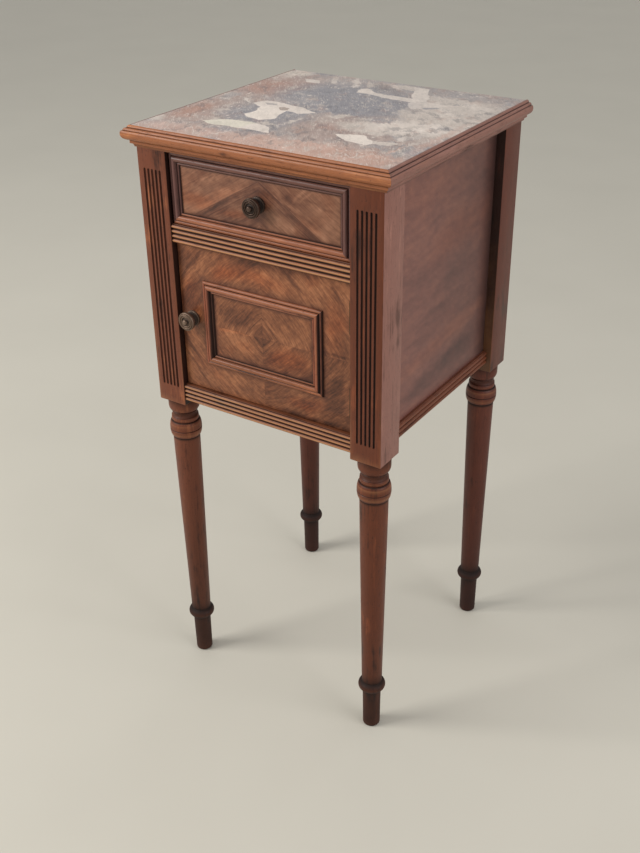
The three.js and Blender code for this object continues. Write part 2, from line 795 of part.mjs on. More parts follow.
function catchPlate() {
  const plate = block(
    [-openingHalf - catchPlateThickness, -openingHalf],
    [catchY - catchPlateWidth / 2, catchY + catchPlateWidth / 2],
    [catchZ - catchPlateHeight / 2, catchZ + catchPlateHeight / 2],
  );
  const hole = rodAlongZ(catchHoleRadius, -catchPlateThickness - cutOverrun, cutOverrun, smallSides);
  return cut(plate, hole.rotateY(Math.PI / 2).translate(-openingHalf, catchY, catchZ));
}

function doorPieces() {
  const frameLeftX = doorLeftX + doorFrameLeftMargin;
  const frameRightX = doorRightX - doorFrameRightMargin;
  const frameMidX = (frameLeftX + frameRightX) / 2;
  const frameWidth = frameRightX - frameLeftX;
  const frameTopZ = doorTopZ - doorFrameTopMargin;
  const frameBottomZ = doorZ + doorFrameBottomMargin;
  const frameMidZ = (frameTopZ + frameBottomZ) / 2;
  const panel = cut(
    block([doorLeftX, doorRightX], [doorFaceY, doorBackY], [doorZ, doorTopZ]),
    ...hinges.map(([, baseZ]) => hingeRecess(baseZ)),
    shankBore(doorKnobX, doorMidZ, doorFaceY - cutOverrun, doorBackY + cutOverrun),
    catchBore(),
  );
  return [
    piece('door_panel', panel, veneer),
    ...mitredFrame('door_moulding', frameWidth, frameTopZ - frameBottomZ, doorFaceY, frameMidX, frameMidZ),
    ...knobMeshes('door_knob', doorThickness, doorFaceY, doorKnobX, doorMidZ),
    piece('catch_barrel', catchBarrel(), brass),
    ...hinges.map(([place, baseZ]) => piece(`hinge_${place}_door_leaf`, hingeLeaf(true, baseZ), brass)),
  ];
}

// What the door meets on the carcase
function doorFittings() {
  const stop = block(
    [-openingHalf, doorStopWidth - openingHalf],
    [doorBackY + fitGap, doorBackY + fitGap + doorStopDepth],
    [floorZ + doorStopMargin, middleRailZ - doorStopMargin],
  );
  return [
    piece('door_stop', stop, innerWood),
    piece('catch_plate', catchPlate(), brass),
    ...hinges.flatMap(([place, baseZ]) => [
      piece(`hinge_${place}_post_leaf`, hingeLeaf(false, baseZ), brass),
      piece(`hinge_${place}_pin`, hingePin(baseZ), brass),
    ]),
  ];
}

const cabinet = new THREE.Group();
cabinet.position.y = frameShift;
for (const meshes of [legs(), carcaseBoards(), topPieces(), doorFittings(), drawerPieces(), doorPieces()]) {
  const group = new THREE.Group();
  group.add(...meshes);
  cabinet.add(group);
}

export default cabinet;
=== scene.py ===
"""Looks of the marble-top bedside cabinet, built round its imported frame.

Sub-assemblies and the ovals and shards of a finish are written in millimetres. Shader
arithmetic works in metres. The front looks along -Y and the right side along +X.
"""

from __future__ import annotations
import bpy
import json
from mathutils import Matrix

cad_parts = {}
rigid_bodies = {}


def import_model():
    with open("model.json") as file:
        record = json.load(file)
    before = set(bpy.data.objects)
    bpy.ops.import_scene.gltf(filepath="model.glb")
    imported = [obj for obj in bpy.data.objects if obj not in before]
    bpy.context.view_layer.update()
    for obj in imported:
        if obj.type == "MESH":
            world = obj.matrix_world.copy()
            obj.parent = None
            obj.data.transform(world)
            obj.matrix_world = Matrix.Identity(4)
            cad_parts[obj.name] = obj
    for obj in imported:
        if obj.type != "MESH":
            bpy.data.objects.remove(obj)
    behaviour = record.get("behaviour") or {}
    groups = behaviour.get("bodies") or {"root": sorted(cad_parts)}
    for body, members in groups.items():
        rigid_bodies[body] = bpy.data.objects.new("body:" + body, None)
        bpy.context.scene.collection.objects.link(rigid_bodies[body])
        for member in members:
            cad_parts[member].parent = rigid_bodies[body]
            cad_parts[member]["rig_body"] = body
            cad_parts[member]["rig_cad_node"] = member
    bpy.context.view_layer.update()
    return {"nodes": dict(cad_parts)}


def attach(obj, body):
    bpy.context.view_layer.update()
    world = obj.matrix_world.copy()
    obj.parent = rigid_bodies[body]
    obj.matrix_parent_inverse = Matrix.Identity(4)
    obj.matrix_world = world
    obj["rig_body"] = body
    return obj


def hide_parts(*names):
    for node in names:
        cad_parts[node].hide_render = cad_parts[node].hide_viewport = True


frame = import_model()

import json
import logging
import math
from collections.abc import Callable, Iterator, Mapping, Sequence
from contextlib import contextmanager
from dataclasses import dataclass, field
from enum import Enum

import bpy
from mathutils import Matrix, Vector

log = logging.getLogger("bedside_cabinet")

MM = 0.001
# Distances in metres below which vertices merge and places count as the same.
WELD = 0.000002
TOUCH = 0.000001
# How far a bar runs past its mitres before they are sawn, in millimetres.
OVERRUN = 2.0
# Cosine from which a face counts as looking one way, and turn below which faces are flat.
FACING = 0.9
FLAT = math.radians(0.5)
RIGHT = Vector((1, 0, 0))
BACK = Vector((0, 1, 0))
FRONT = Vector((0, -1, 0))
UP = Vector((0, 0, 1))
SIDES = (("left", -1), ("right", 1))
Pair = tuple[float, float]
Spot = tuple[float, float, float]
Colour = tuple[float, float, float, float]
Outline = list[Spot]


class Grain(Enum):
    """The way the fibres of a board run."""

    WIDE = 0
    DEEP = 1
    UP = 2

    def scales(self, along: float, across: float) -> list[float]:
        """Scales of a pattern along the fibres and on the other two ways."""
        scale = [across, across, across]
        scale[self.value] = along
        return scale


class Union(Enum):
    """What a Boolean does with its tool."""

    JOIN = "UNION"
    CUT = "DIFFERENCE"


# ---------------------------------------------------------------- shader arithmetic


def tone(red: float, green: float, blue: float) -> Colour:
    """Turns a colour written in steps of 0 to 255 into linear light.

    Args:
        red: Red step.
        green: Green step.
        blue: Blue step.

    Returns:
        The linear colour with full opacity.
    """
    linear = [
        c / 12.92 if c <= 0.04045 else ((c + 0.055) / 1.055) ** 2.4
        for c in (red / 255, green / 255, blue / 255)
    ]
    return (*linear, 1.0)


def maths(operation: str, swapped: bool = False) -> Callable[..., Signal]:
    """An operator that adds one Math node.

    Args:
        operation: The node's operation.
        swapped: Whether the other value comes first.

    Returns:
        The operator, as a method of Signal.
    """

    def operator(self: Signal, other: Value = 0.0) -> Signal:
        """The result of the node."""
        first, second = (other, self) if swapped else (self, other)
        settings = {"operation": operation}
        return self.sheet.node("ShaderNodeMath", settings, {0: first, 1: second})[0]

    return operator


class Signal:
    """One output socket that takes part in plain arithmetic."""

    def __init__(self, sheet: Sheet, socket: bpy.types.NodeSocket) -> None:
        """Wraps a socket of a sheet's tree."""
        self.sheet = sheet
        self.socket = socket

    __add__ = __radd__ = maths("ADD")
    __sub__ = maths("SUBTRACT")
    __rsub__ = maths("SUBTRACT", swapped=True)
    __mul__ = __rmul__ = maths("MULTIPLY")
    __truediv__ = maths("DIVIDE")
    __rtruediv__ = maths("DIVIDE", swapped=True)
    __pow__ = maths("POWER")
    __rpow__ = maths("POWER", swapped=True)
    __abs__ = maths("ABSOLUTE")
    __gt__ = maths("GREATER_THAN")
    lower = maths("MINIMUM")
    upper = maths("MAXIMUM")


Value = Signal | float | Sequence[float]


class Outputs:
    """The outputs of a node, found by name or number."""

    def __init__(self, sheet: Sheet, made: bpy.types.Node) -> None:
        """Keeps the node and its sheet."""
        self.sheet = sheet
        self.made = made

    def __getitem__(self, key: int | str) -> Signal:
        """One output as a signal."""
        return Signal(self.sheet, self.made.outputs[key])


class Sheet:
    """The node tree of one material or of the world."""

    def __init__(self, tree: bpy.types.NodeTree) -> None:
        """Empties the tree."""
        self.tree = tree
        self.tree.nodes.clear()

    def node(
        self,
        kind: str,
        settings: Mapping[str, object] | None = None,
        inputs: Mapping[int | str, Value] | None = None,
    ) -> Outputs:
        """Adds a node.

        Args:
            kind: The node's type.
            settings: Its settings, with a ramp's stops under "stops".
            inputs: Values or signals of its sockets, by name or number.

        Returns:
            The node's outputs.
        """
        made = self.tree.nodes.new(kind)
        for key, value in (settings or {}).items():
            if key == "stops":
                self._stops(made.color_ramp, value)
            else:
                setattr(made, key, value)
        for key, value in (inputs or {}).items():
            if isinstance(value, Signal):
                self.tree.links.new(value.socket, made.inputs[key])
            else:
                made.inputs[key].default_value = value
        return Outputs(self, made)

    @staticmethod
    def _stops(ramp: bpy.types.ColorRamp, stops: Sequence[tuple[float, Colour]]) -> None:
        """Sets the stops of a colour ramp."""
        while len(ramp.elements) < len(stops):
            ramp.elements.new(0.5)
        for element, (position, colour) in zip(ramp.elements, stops):
            element.position = position
            element.color = colour

    def place(self) -> Signal:
        """The point on the object, in metres of the cabinet's frame."""
        return self.node("ShaderNodeTexCoord")["Object"]

    def split(self, vector: Signal) -> tuple[Signal, Signal, Signal]:
        """The three parts of a vector."""
        parts = self.node("ShaderNodeSeparateXYZ", None, {0: vector})
        return parts[0], parts[1], parts[2]

    def vector(self, x: Value, y: Value, z: Value) -> Signal:
        """A vector from three values."""
        return self.node("ShaderNodeCombineXYZ", None, {0: x, 1: y, 2: z})[0]

    def stretched(self, vector: Signal, by: Sequence[float]) -> Signal:
        """A vector times a fixed one, part by part."""
        settings = {"operation": "MULTIPLY"}
        return self.node("ShaderNodeVectorMath", settings, {0: vector, 1: by})[0]

    def moved(self, vector: Signal, by: Value) -> Signal:
        """A vector plus another."""
        return self.node("ShaderNodeVectorMath", {"operation": "ADD"}, {0: vector, 1: by})[0]

    def times(self, vector: Value, by: Value) -> Signal:
        """A vector or colour times a number."""
        settings = {"operation": "SCALE"}
        return self.node("ShaderNodeVectorMath", settings, {0: vector, "Scale": by})[0]

    def cloud(
        self, vector: Signal, scale: float = 1.0, detail: float = 2.0, rough: float = 0.5
    ) -> Signal:
        """Soft noise from 0 to 1."""
        inputs = {"Vector": vector, "Scale": scale, "Detail": detail, "Roughness": rough}
        return self.node("ShaderNodeTexNoise", None, inputs)["Fac"]

    def cells(self, vector: Signal, scale: float) -> Outputs:
        """A pattern of cells, with a random colour and a distance for each."""
        return self.node("ShaderNodeTexVoronoi", None, {"Vector": vector, "Scale": scale})

    def grained(
        self,
        vector: Signal,
        grain: Grain,
        along: float,
        across: float,
        detail: float = 2.0,
        rough: float = 0.5,
    ) -> Signal:
        """Noise drawn out along the grain.

        Args:
            vector: The point.
            grain: The way the fibres run.
            along: Noise scale along the fibres.
            across: Noise scale across them.
            detail: Noise detail.
            rough: Noise roughness.

        Returns:
            The noise from 0 to 1.
        """
        return self.cloud(self.stretched(vector, grain.scales(along, across)), 1.0, detail, rough)

    def drift(self, vector: Signal, scale: float, reach: float, detail: float = 2.0) -> Signal:
        """The same vector, pushed about by noise.

        Args:
            vector: The point.
            scale: Noise scale.
            reach: How far the point moves, in the vector's unit.
            detail: Noise detail.

        Returns:
            The moved point.
        """
        inputs = {"Vector": vector, "Scale": scale, "Detail": detail}
        noise = self.node("ShaderNodeTexNoise", None, inputs)["Color"]
        push = self.times(self.moved(noise, (-0.5, -0.5, -0.5)), 2.0 * reach)
        return self.moved(vector, push)

    def step(
        self, value: Signal, low: float, high: float, start: float = 0.0, end: float = 1.0
    ) -> Signal:
        """A smooth step between two levels.

        Args:
            value: What is stepped.
            low: Where the step starts.
            high: Where it ends.
            start: Result below.
            end: Result above.

        Returns:
            The stepped value.
        """
        settings = {"interpolation_type": "SMOOTHSTEP"}
        inputs = {0: value, 1: low, 2: high, 3: start, 4: end}
        return self.node("ShaderNodeMapRange", settings, inputs)[0]

    def ramp(
        self, value: Signal, stops: Sequence[tuple[float, Colour]], soft: bool = True
    ) -> Signal:
        """A colour picked along a ramp."""
        outputs = self.node("ShaderNodeValToRGB", {"stops": stops}, {0: value})
        outputs.made.color_ramp.interpolation = "EASE" if soft else "LINEAR"
        return outputs["Color"]

    def mix(self, share: Value, first: Value, second: Value, blend: str = "MIX") -> Signal:
        """Two colours mixed by a share."""
        settings = {"data_type": "RGBA", "blend_type": blend}
        return self.node("ShaderNodeMix", settings, {0: share, 6: first, 7: second})[2]

    def tinted(self, share: Value, first: Value, tint: Colour) -> Signal:
        """A colour turned softly towards a tint."""
        return self.mix(share, first, self.mix(1.0, first, tint, "SOFT_LIGHT"))

    def attribute(self, name: str) -> Signal:
        """A number kept on the piece's vertices, zero where it has none."""
        settings = {"attribute_type": "GEOMETRY", "attribute_name": name}
        return self.node("ShaderNodeAttribute", settings)["Fac"]

    def bumped(self, height: Signal, depth: float) -> Signal:
        """A normal from a height of 0 to 1 that spans a depth in metres."""
        inputs = {"Strength": 1.0, "Distance": depth, "Height": height}
        return self.node("ShaderNodeBump", None, inputs)["Normal"]

    def surface(self, inputs: Mapping[int | str, Value]) -> None:
        """Ends the tree with one surface shader."""
        shader = self.node("ShaderNodeBsdfPrincipled", None, inputs)[0]
        self.node("ShaderNodeOutputMaterial", None, {"Surface": shader})


def swayed(level: float, *parts: tuple[Signal, float]) -> Signal:
    """A level that noises sway about their middle, each by its own weight."""
    for noise, weight in parts:
        level = level + (noise - 0.5) * weight
    return level


# ---------------------------------------------------------------- finishes

POLISH = (1.0, 0.90, 0.91)


@dataclass(frozen=True)
class Finish:
    """A finish, painted with shader nodes alone."""

    name: str

    def paint(self, sheet: Sheet) -> None:
        """Builds the node tree."""
        raise NotImplementedError

    def make(self) -> bpy.types.Material:
        """The finish as a material."""
        material = bpy.data.materials.new(self.name)
        material.use_nodes = True
        self.paint(Sheet(material.node_tree))
        return material


@dataclass(frozen=True)
class Oval:
    """An oval on a flat face: its middle and half sizes in millimetres, its turn in degrees."""

    x: float
    y: float
    long: float
    short: float
    turn: float

    def mask(self, sheet: Sheet, flat: Signal, soft: float) -> Signal:
        """One inside the oval, zero outside it.

        Args:
            sheet: The node tree.
            flat: The point on the face as a vector with its third part zero.
            soft: Half width of the soft edge, as a share of the oval.

        Returns:
            The mask.
        """
        inputs = {
            "Vector": flat,
            "Location": (self.x * MM, self.y * MM, 0.0),
            "Rotation": (0.0, 0.0, math.radians(self.turn)),
            "Scale": (self.long * MM, self.short * MM, 1.0),
        }
        local = sheet.node("ShaderNodeMapping", {"vector_type": "TEXTURE"}, inputs)[0]
        reach = sheet.node("ShaderNodeVectorMath", {"operation": "LENGTH"}, {0: local})["Value"]
        return sheet.step(reach, 1.0 + soft, 1.0 - soft)


@dataclass(frozen=True)
class Blush(Oval):
    """A place in veneer that is lighter or darker by lift and more orange by warm."""

    lift: float
    warm: float = 0.0
    soft: float = 0.75


def blushed(sheet: Sheet, flat: Signal, blushes: Sequence[Blush]) -> tuple[Signal, Signal]:
    """Adds up the blushes of a face.

    Args:
        sheet: The node tree.
        flat: The point on the face.
        blushes: The face's blushes.

    Returns:
        The sum of their lifts and of their warmth.
    """
    zero = sheet.node("ShaderNodeValue")
    zero.made.outputs[0].default_value = 0.0
    lift, warm = zero[0], zero[0]
    for blush in blushes:
        mask = blush.mask(sheet, flat, blush.soft)
        lift = lift + mask * blush.lift
        if blush.warm:
            warm = warm + mask * blush.warm
    return lift, warm


@dataclass(frozen=True)
class Walnut(Finish):
    """Solid walnut under a worn, satin polish, darker towards the floor.

    A value called dirt_shade_and_sheen on the vertices darkens quirks above zero, with dirt and
    painted shade, and brightens crests below it, with rubbed wear and a painted highlight.
    """

    grain: Grain
    deep: Colour = tone(56, 28, 16)
    body: Colour = tone(108, 62, 40)
    warm: Colour = tone(146, 90, 56)
    grime_and_shade: Colour = tone(24, 13, 9)
    rubbed: Colour = tone(184, 126, 84)
    gloss: float = 0.44
    seed: float = 0.0
    foot: float = 0.58

    def paint(self, sheet: Sheet) -> None:
        """Builds the node tree."""
        place = sheet.place()
        point = sheet.moved(place, (self.seed, self.seed * 0.7, self.seed * 1.3))
        wavy = sheet.drift(sheet.stretched(point, self.grain.scales(4.0, 16.0)), 1.0, 0.12)
        growth = sheet.cloud(wavy, 5.0, 3.0, 0.55)
        streak = sheet.grained(point, self.grain, 5.0, 240.0, 3.0, 0.6)
        fibre = sheet.grained(point, self.grain, 30.0, 1100.0)
        pores = sheet.step(sheet.grained(point, self.grain, 70.0, 1700.0, 1.0), 0.62, 0.72)
        patch = sheet.cloud(point, 14.0, 4.0, 0.62)
        nicks = sheet.step(sheet.cloud(point, 330.0, 2.0), 0.64, 0.72)
        figure = growth * 0.55 + streak * 0.40 + patch * 0.50 - 0.22
        wood = sheet.ramp(
            figure, ((0.30, self.deep), (0.46, self.body), (0.56, self.body), (0.72, self.warm))
        )
        wood = sheet.times(wood, 0.82 + fibre * 0.36)
        wood = sheet.stretched(sheet.mix((pores + nicks) * 0.40, wood, self.grime_and_shade), POLISH)
        wood = sheet.times(wood, sheet.step(sheet.split(place)[2], 0.02, 0.47, self.foot, 1.0))
        # Dirt and painted shade darken quirks above zero with the grime colour; rubbed wear and a
        # painted highlight lighten crests below zero with the rubbed colour.
        dirt_shade_and_sheen = sheet.attribute("dirt_shade_and_sheen") + (patch - 0.5) * 0.6
        wood = sheet.mix(sheet.step(dirt_shade_and_sheen, -0.15, -0.9) * 0.62, wood, self.rubbed)
        dark = sheet.step(dirt_shade_and_sheen, 0.10, 1.0)
        wood = sheet.mix(dark * 0.94, wood, self.grime_and_shade)
        rough = self.gloss + (patch - 0.5) * 0.24 + dark * 0.30 + pores * 0.10
        height = fibre * 0.5 + patch * 0.6 - pores * 0.6 - nicks
        sheet.surface(
            {
                "Base Color": wood,
                "Roughness": rough,
                "Specular IOR Level": 0.28,
                "Coat Weight": 0.07 - dark * 0.07,
                "Coat Roughness": 0.22,
                "Normal": sheet.bumped(height, 0.00009),
            }
        )


@dataclass(frozen=True)
class Veneer(Finish):
    """Figured walnut veneer; each face says how its figure runs."""

    dark: Colour = tone(60, 34, 22)
    brown: Colour = tone(100, 62, 41)
    tan: Colour = tone(130, 85, 56)
    gold: Colour = tone(160, 110, 74)
    pale: Colour = tone(184, 136, 98)
    orange: Colour = tone(164, 104, 50)
    pore: Colour = tone(44, 25, 18)
    shade: Colour = tone(58, 32, 30)
    gloss: float = 0.40
    bands: float = 0.46
    lines: float = 0.46
    mottle: float = 0.62
    blushes: tuple[Blush, ...] = ()

    def figure(self, sheet: Sheet, point: Signal) -> tuple[Signal, Signal, Signal]:
        """How the figure runs.

        Args:
            sheet: The node tree.
            point: The point on the face.

        Returns:
            The place across the figure, along it, and how much lighter the leaf is.
        """
        raise NotImplementedError

    def shadow(self, sheet: Sheet, point: Signal) -> Signal:
        """Painted shade and old polish along the frame, and dark veneer joints, 0 to 1."""
        raise NotImplementedError

    def paint(self, sheet: Sheet) -> None:
        """Builds the node tree."""
        point = sheet.place()
        bent = sheet.drift(point, 13.0, 0.0042, 3.0)
        across, along, leaf = self.figure(sheet, bent)

        def figured(
            wide: float, long: float, place: Value, detail: float = 2.0, rough: float = 0.5
        ) -> Signal:
            """Noise with its own scale across and along the figure."""
            spot = sheet.vector(across * wide, along * long, place)
            return sheet.cloud(spot, 1.0, detail, rough)

        broad = figured(42.0, 7.0, leaf)
        bands = figured(150.0, 20.0, leaf * 2.0, 3.0, 0.6)
        lines = figured(560.0, 60.0, 0.3)
        fibre = figured(1500.0, 60.0, 0.7, 1.0)
        pores = sheet.step(figured(1500.0, 110.0, 4.0), 0.61, 0.72)
        fleck = figured(110.0, 170.0, 2.0, 3.0)
        patch = sheet.cloud(point, 19.0, 4.0, 0.62)
        x, _, z = sheet.split(sheet.drift(point, 34.0, 0.007, 3.0))
        lift, warm = blushed(sheet, sheet.vector(x, z, 0.0), self.blushes)
        figure = swayed(
            0.53,
            (broad, 0.40),
            (bands, self.bands),
            (lines, self.lines),
            (fleck, 0.20),
            (patch, self.mottle),
        )
        stops = (
            (0.14, self.dark),
            (0.38, self.brown),
            (0.55, self.tan),
            (0.73, self.gold),
            (0.92, self.pale),
        )
        wood = sheet.ramp(figure + leaf + lift, stops, soft=False)
        heat = warm + sheet.step(sheet.cloud(point, 26.0, 2.0), 0.52, 0.70) * 0.18
        wood = sheet.tinted(heat, wood, self.orange)
        wood = sheet.times(wood, 0.80 + fibre * 0.22 + fleck * 0.18)
        wood = sheet.stretched(sheet.mix(pores * 0.40, wood, self.pore), POLISH)
        # Painted shade and old polish along the frame, and the dark joints, in the shade colour.
        soiled_and_shaded = self.shadow(sheet, point)
        wood = sheet.mix(soiled_and_shaded * 0.80, wood, self.shade)
        height = fibre * 0.4 + bands * 0.3 + patch * 0.6 - pores * 0.6
        sheet.surface(
            {
                "Base Color": wood,
                "Roughness": self.gloss + (patch - 0.5) * 0.22 + soiled_and_shaded * 0.25,
                "Specular IOR Level": 0.30,
                "Coat Weight": 0.10 - soiled_and_shaded * 0.10,
                "Coat Roughness": 0.22,
                "Normal": sheet.bumped(height, 0.00010),
            }
        )


def outside_box(x: Signal, z: Signal, half: Pair, middle: Pair) -> Signal:
    """Distance outside an upright rectangle, negative inside it.

    Args:
        x: Place across.
        z: Height.
        half: Half width and half height.
        middle: Middle of the rectangle.

    Returns:
        The distance in metres.
    """
    return (abs(x - middle[0]) - half[0]).upper(abs(z - middle[1]) - half[1])


@dataclass(frozen=True)
class DrawerVeneer(Veneer):
    """Two book-matched leaves that meet in a reversed, darker triangle."""

    apex: Pair = (0.0012, 0.7945)
    slopes: Pair = (0.575, 0.655)
    middle: float = 0.76605
    field: Pair = (0.1175, 0.03025)

    def _fall(self, sheet: Sheet, point: Signal) -> tuple[Signal, Signal, Signal]:
        """Distance from the middle, slope of that side and height over the triangle's side."""
        x, _, z = sheet.split(point)
        across = x - self.apex[0]
        right = across > 0.0
        slope = right * (self.slopes[1] - self.slopes[0]) + self.slopes[0]
        return across, slope, z - self.apex[1] + abs(across) * slope

    def figure(self, sheet: Sheet, point: Signal) -> tuple[Signal, Signal, Signal]:
        """Lines that fall away from the middle on both sides."""
        x, slope, above = self._fall(sheet, point)
        outer = sheet.step(above, -0.0007, 0.0007)
        along = abs(x) - above * slope
        leaf = outer * 0.13 - 0.13 + (x > 0.0) * 0.012
        return above + outer * 0.37, along, leaf

    def shadow(self, sheet: Sheet, point: Signal) -> Signal:
        """Painted shade along the frame, and dark lines along the joint of the triangle."""
        x, _, z = sheet.split(point)
        outer = outside_box(x, z, self.field, (0.0, self.middle))
        # Painted shade along the inside of the frame.
        edge = sheet.step(outer, -0.0030, 0.0004) * 0.75
        _, _, above = self._fall(sheet, sheet.drift(point, 60.0, 0.0006))
        joint = sheet.step(abs(above), 0.0014, 0.0003) * 0.62
        second = sheet.step(abs(above + 0.0100), 0.0014, 0.0004) * 0.44
        return edge.upper(joint).upper(second)


@dataclass(frozen=True)
class DoorVeneer(Veneer):
    """Four matched leaves whose lines close into rounded diamonds."""

    middle: Pair = (-0.0020, 0.5895)
    squash: Pair = (0.87, 1.0)
    bend: float = 1.18
    heart: Spot = (-0.0026, 0.5926, 0.0165)
    frame_middle: Pair = (-0.001625, 0.5905)
    frame_half: Pair = (0.092125, 0.0590)
    frame_bar: float = 0.0155

    def figure(self, sheet: Sheet, point: Signal) -> tuple[Signal, Signal, Signal]:
        """Lines that run round the middle of the door."""
        x, _, z = sheet.split(point)
        side = abs(x - self.middle[0])
        top = z > self.middle[1]
        rise = abs(z - self.middle[1]) / (top * (self.squash[1] - self.squash[0]) + self.squash[0])
        ring = (side**self.bend + rise**self.bend) ** (1.0 / self.bend)
        right = x > self.middle[0]
        leaf = right * top * 0.05 - right * 0.03
        diamond = abs(x - self.heart[0]) + abs(z - self.heart[1])
        size = self.heart[2]
        core = sheet.step(diamond, size + 0.0012, size - 0.0012)
        halo = sheet.step(abs(diamond - size - 0.0042), 0.0030, 0.0010)
        rim = sheet.step(abs(diamond - size - 0.0085), 0.0014, 0.0004)
        leaf = leaf - core * 0.15 + halo * 0.04 - rim * 0.10
        return ring + 0.9 + right * 0.02, side - rise + right * 0.7 + top * 0.3, leaf

    def shadow(self, sheet: Sheet, point: Signal) -> Signal:
        """Painted shade on both sides of the moulded frame, and dark seams."""
        x, _, z = sheet.split(point)
        outer = outside_box(x, z, self.frame_half, self.frame_middle)
        # Painted shade round the outside and the inside of the moulded frame.
        rim = sheet.step(outer, 0.0095, 0.0) * 0.50
        close = sheet.step(outer, 0.0016, 0.0002) * 0.8
        field = sheet.step(outer + self.frame_bar, -0.0060, 0.0002) * 0.8
        near = rim.upper(close).lower(field)
        seam = abs(x - self.middle[0]).lower(abs(z - self.middle[1]))
        return near.upper(sheet.step(seam, 0.0007, 0.0001) * 0.30)


@dataclass(frozen=True)
class SideVeneer(Finish):
    """Plain walnut on the sides in a faded mauve brown with soft bands, with painted cool
    side light, and painted shade towards the rear and beside the back posts.
    """

    dark: Colour = tone(84, 56, 52)
    body: Colour = tone(119, 81, 72)
    light: Colour = tone(149, 105, 87)
    orange: Colour = tone(160, 96, 56)
    pore: Colour = tone(64, 40, 34)
    shade: Colour = tone(34, 17, 12)
    rear: Pair = (0.098, 0.146)
    blushes: tuple[Blush, ...] = (
        Blush(-5, 522, 105, 14, 6, -0.20),
        Blush(70, 530, 50, 16, 8, -0.10),
        Blush(0, 562, 120, 11, 5, 0.10, 0.2),
        Blush(10, 596, 110, 16, 3, -0.09),
        Blush(-10, 612, 26, 4, -4, -0.10),
        Blush(-30, 672, 44, 8, 3, -0.09),
        Blush(60, 705, 80, 24, 5, 0.11, 0.3),
        Blush(-80, 705, 40, 30, 0, 0.05),
        Blush(-50, 778, 70, 26, 0, 0.10, 0.1),
        Blush(60, 640, 70, 20, 0, -0.05),
    )

    def paint(self, sheet: Sheet) -> None:
        """Builds the node tree."""
        point = sheet.place()
        bent = sheet.drift(point, 9.0, 0.012, 3.0)
        x, y, z = sheet.split(bent)
        lift = z - y * 0.07
        broad = sheet.cloud(sheet.vector(x * 4.0, y * 6.0, lift * 34.0), 1.0, 2.0)
        ripple = sheet.cloud(sheet.vector(x * 4.0, y * 22.0, lift * 130.0), 1.0, 3.0)
        curl = sheet.cloud(sheet.vector(x * 4.0, y * 90.0 + z * 60.0, z * 120.0), 1.0, 2.0)
        fibre = sheet.cloud(sheet.vector(x * 40.0, y * 30.0, z * 1200.0), 1.0, 2.0)
        pores = sheet.step(sheet.cloud(sheet.vector(x * 60.0, y * 70.0, z * 1500.0)), 0.60, 0.72)
        patch = sheet.cloud(point, 15.0, 4.0, 0.6)
        blush, warm = blushed(sheet, sheet.vector(y, z, 0.0), self.blushes)
        figure = swayed(0.50, (broad, 0.30), (ripple, 0.30), (curl, 0.28), (patch, 0.45))
        stops = ((0.20, self.dark), (0.50, self.body), (0.80, self.light))
        wood = sheet.ramp(figure + blush, stops, soft=False)
        wood = sheet.tinted(warm, wood, self.orange)
        wood = sheet.times(wood, 0.86 + fibre * 0.28)
        wood = sheet.stretched(sheet.mix(pores * 0.35, wood, self.pore), POLISH)
        # Painted shade: darker towards the rear, and nearly black where the back posts shade the
        # panel.
        reach = sheet.split(point)[1]
        deep = sheet.step(reach, self.rear[0], self.rear[1])
        wood = sheet.times(wood, sheet.step(reach, -0.120, 0.110, 1.0, 0.68))
        wood = sheet.mix(deep * 0.85, wood, self.shade)
        height = fibre * 0.4 + patch * 0.6 - pores * 0.5
        sheet.surface(
            {
                "Base Color": wood,
                "Roughness": 0.40 + (patch - 0.5) * 0.22 + deep * 0.2,
                "Specular IOR Level": 0.40,
                "Coat Weight": 0.12 - deep * 0.12,
                "Coat Roughness": 0.28,
                "Normal": sheet.bumped(height, 0.00009),
            }
        )


@dataclass(frozen=True)
class Planed(Finish):
    """Plain unpolished wood of the inside, with growth lines and dust."""

    grain: Grain
    dark: Colour = tone(118, 84, 54)
    light: Colour = tone(176, 138, 96)
    dust: Colour = tone(96, 74, 54)
    seed: float = 0.0

    def paint(self, sheet: Sheet) -> None:
        """Builds the node tree."""
        point = sheet.moved(sheet.place(), (self.seed, self.seed * 0.6, self.seed * 1.7))
        bent = sheet.drift(point, 6.0, 0.006)
        growth = sheet.grained(bent, self.grain, 1.6, 75.0, 2.0, 0.6)
        hair = sheet.grained(point, self.grain, 14.0, 900.0)
        patch = sheet.cloud(point, 10.0, 4.0, 0.6)
        wood = sheet.ramp(growth * 0.8 + hair * 0.2, ((0.34, self.dark), (0.62, self.light)))
        wood = sheet.times(wood, 0.88 + hair * 0.24)
        wood = sheet.mix(sheet.step(patch, 0.50, 0.75) * 0.45, wood, self.dust)
        sheet.surface(
            {
                "Base Color": wood,
                "Roughness": 0.66 + (patch - 0.5) * 0.2,
                "Specular IOR Level": 0.3,
                "Normal": sheet.bumped(hair * 0.6 + growth * 0.4, 0.00012),
            }
        )


@dataclass(frozen=True)
class Patch(Oval):
    """One cloud or streak in the marble."""

    colour: Colour
    soft: float = 0.25
    share: float = 1.0


@dataclass(frozen=True)
class Shard:
    """One sharp-edged shell in the marble: its corners against the clock, in millimetres."""

    corners: tuple[Pair, ...]
    colour: Colour
    share: float = 1.0

    def mask(self, sheet: Sheet, flat: Signal) -> Signal:
        """One inside the convex outline, zero outside it."""
        outside = None
        for start, end in zip(self.corners, self.corners[1:] + self.corners[:1]):
            length = math.dist(start, end)
            normal = ((end[1] - start[1]) / length, (start[0] - end[0]) / length, 0.0)
            offset = (start[0] * normal[0] + start[1] * normal[1]) * MM
            settings = {"operation": "DOT_PRODUCT"}
            dot = sheet.node("ShaderNodeVectorMath", settings, {0: flat, 1: normal})
            beyond = dot["Value"] - offset
            outside = beyond if outside is None else outside.upper(beyond)
        return sheet.step(outside, 0.0006, -0.0006)


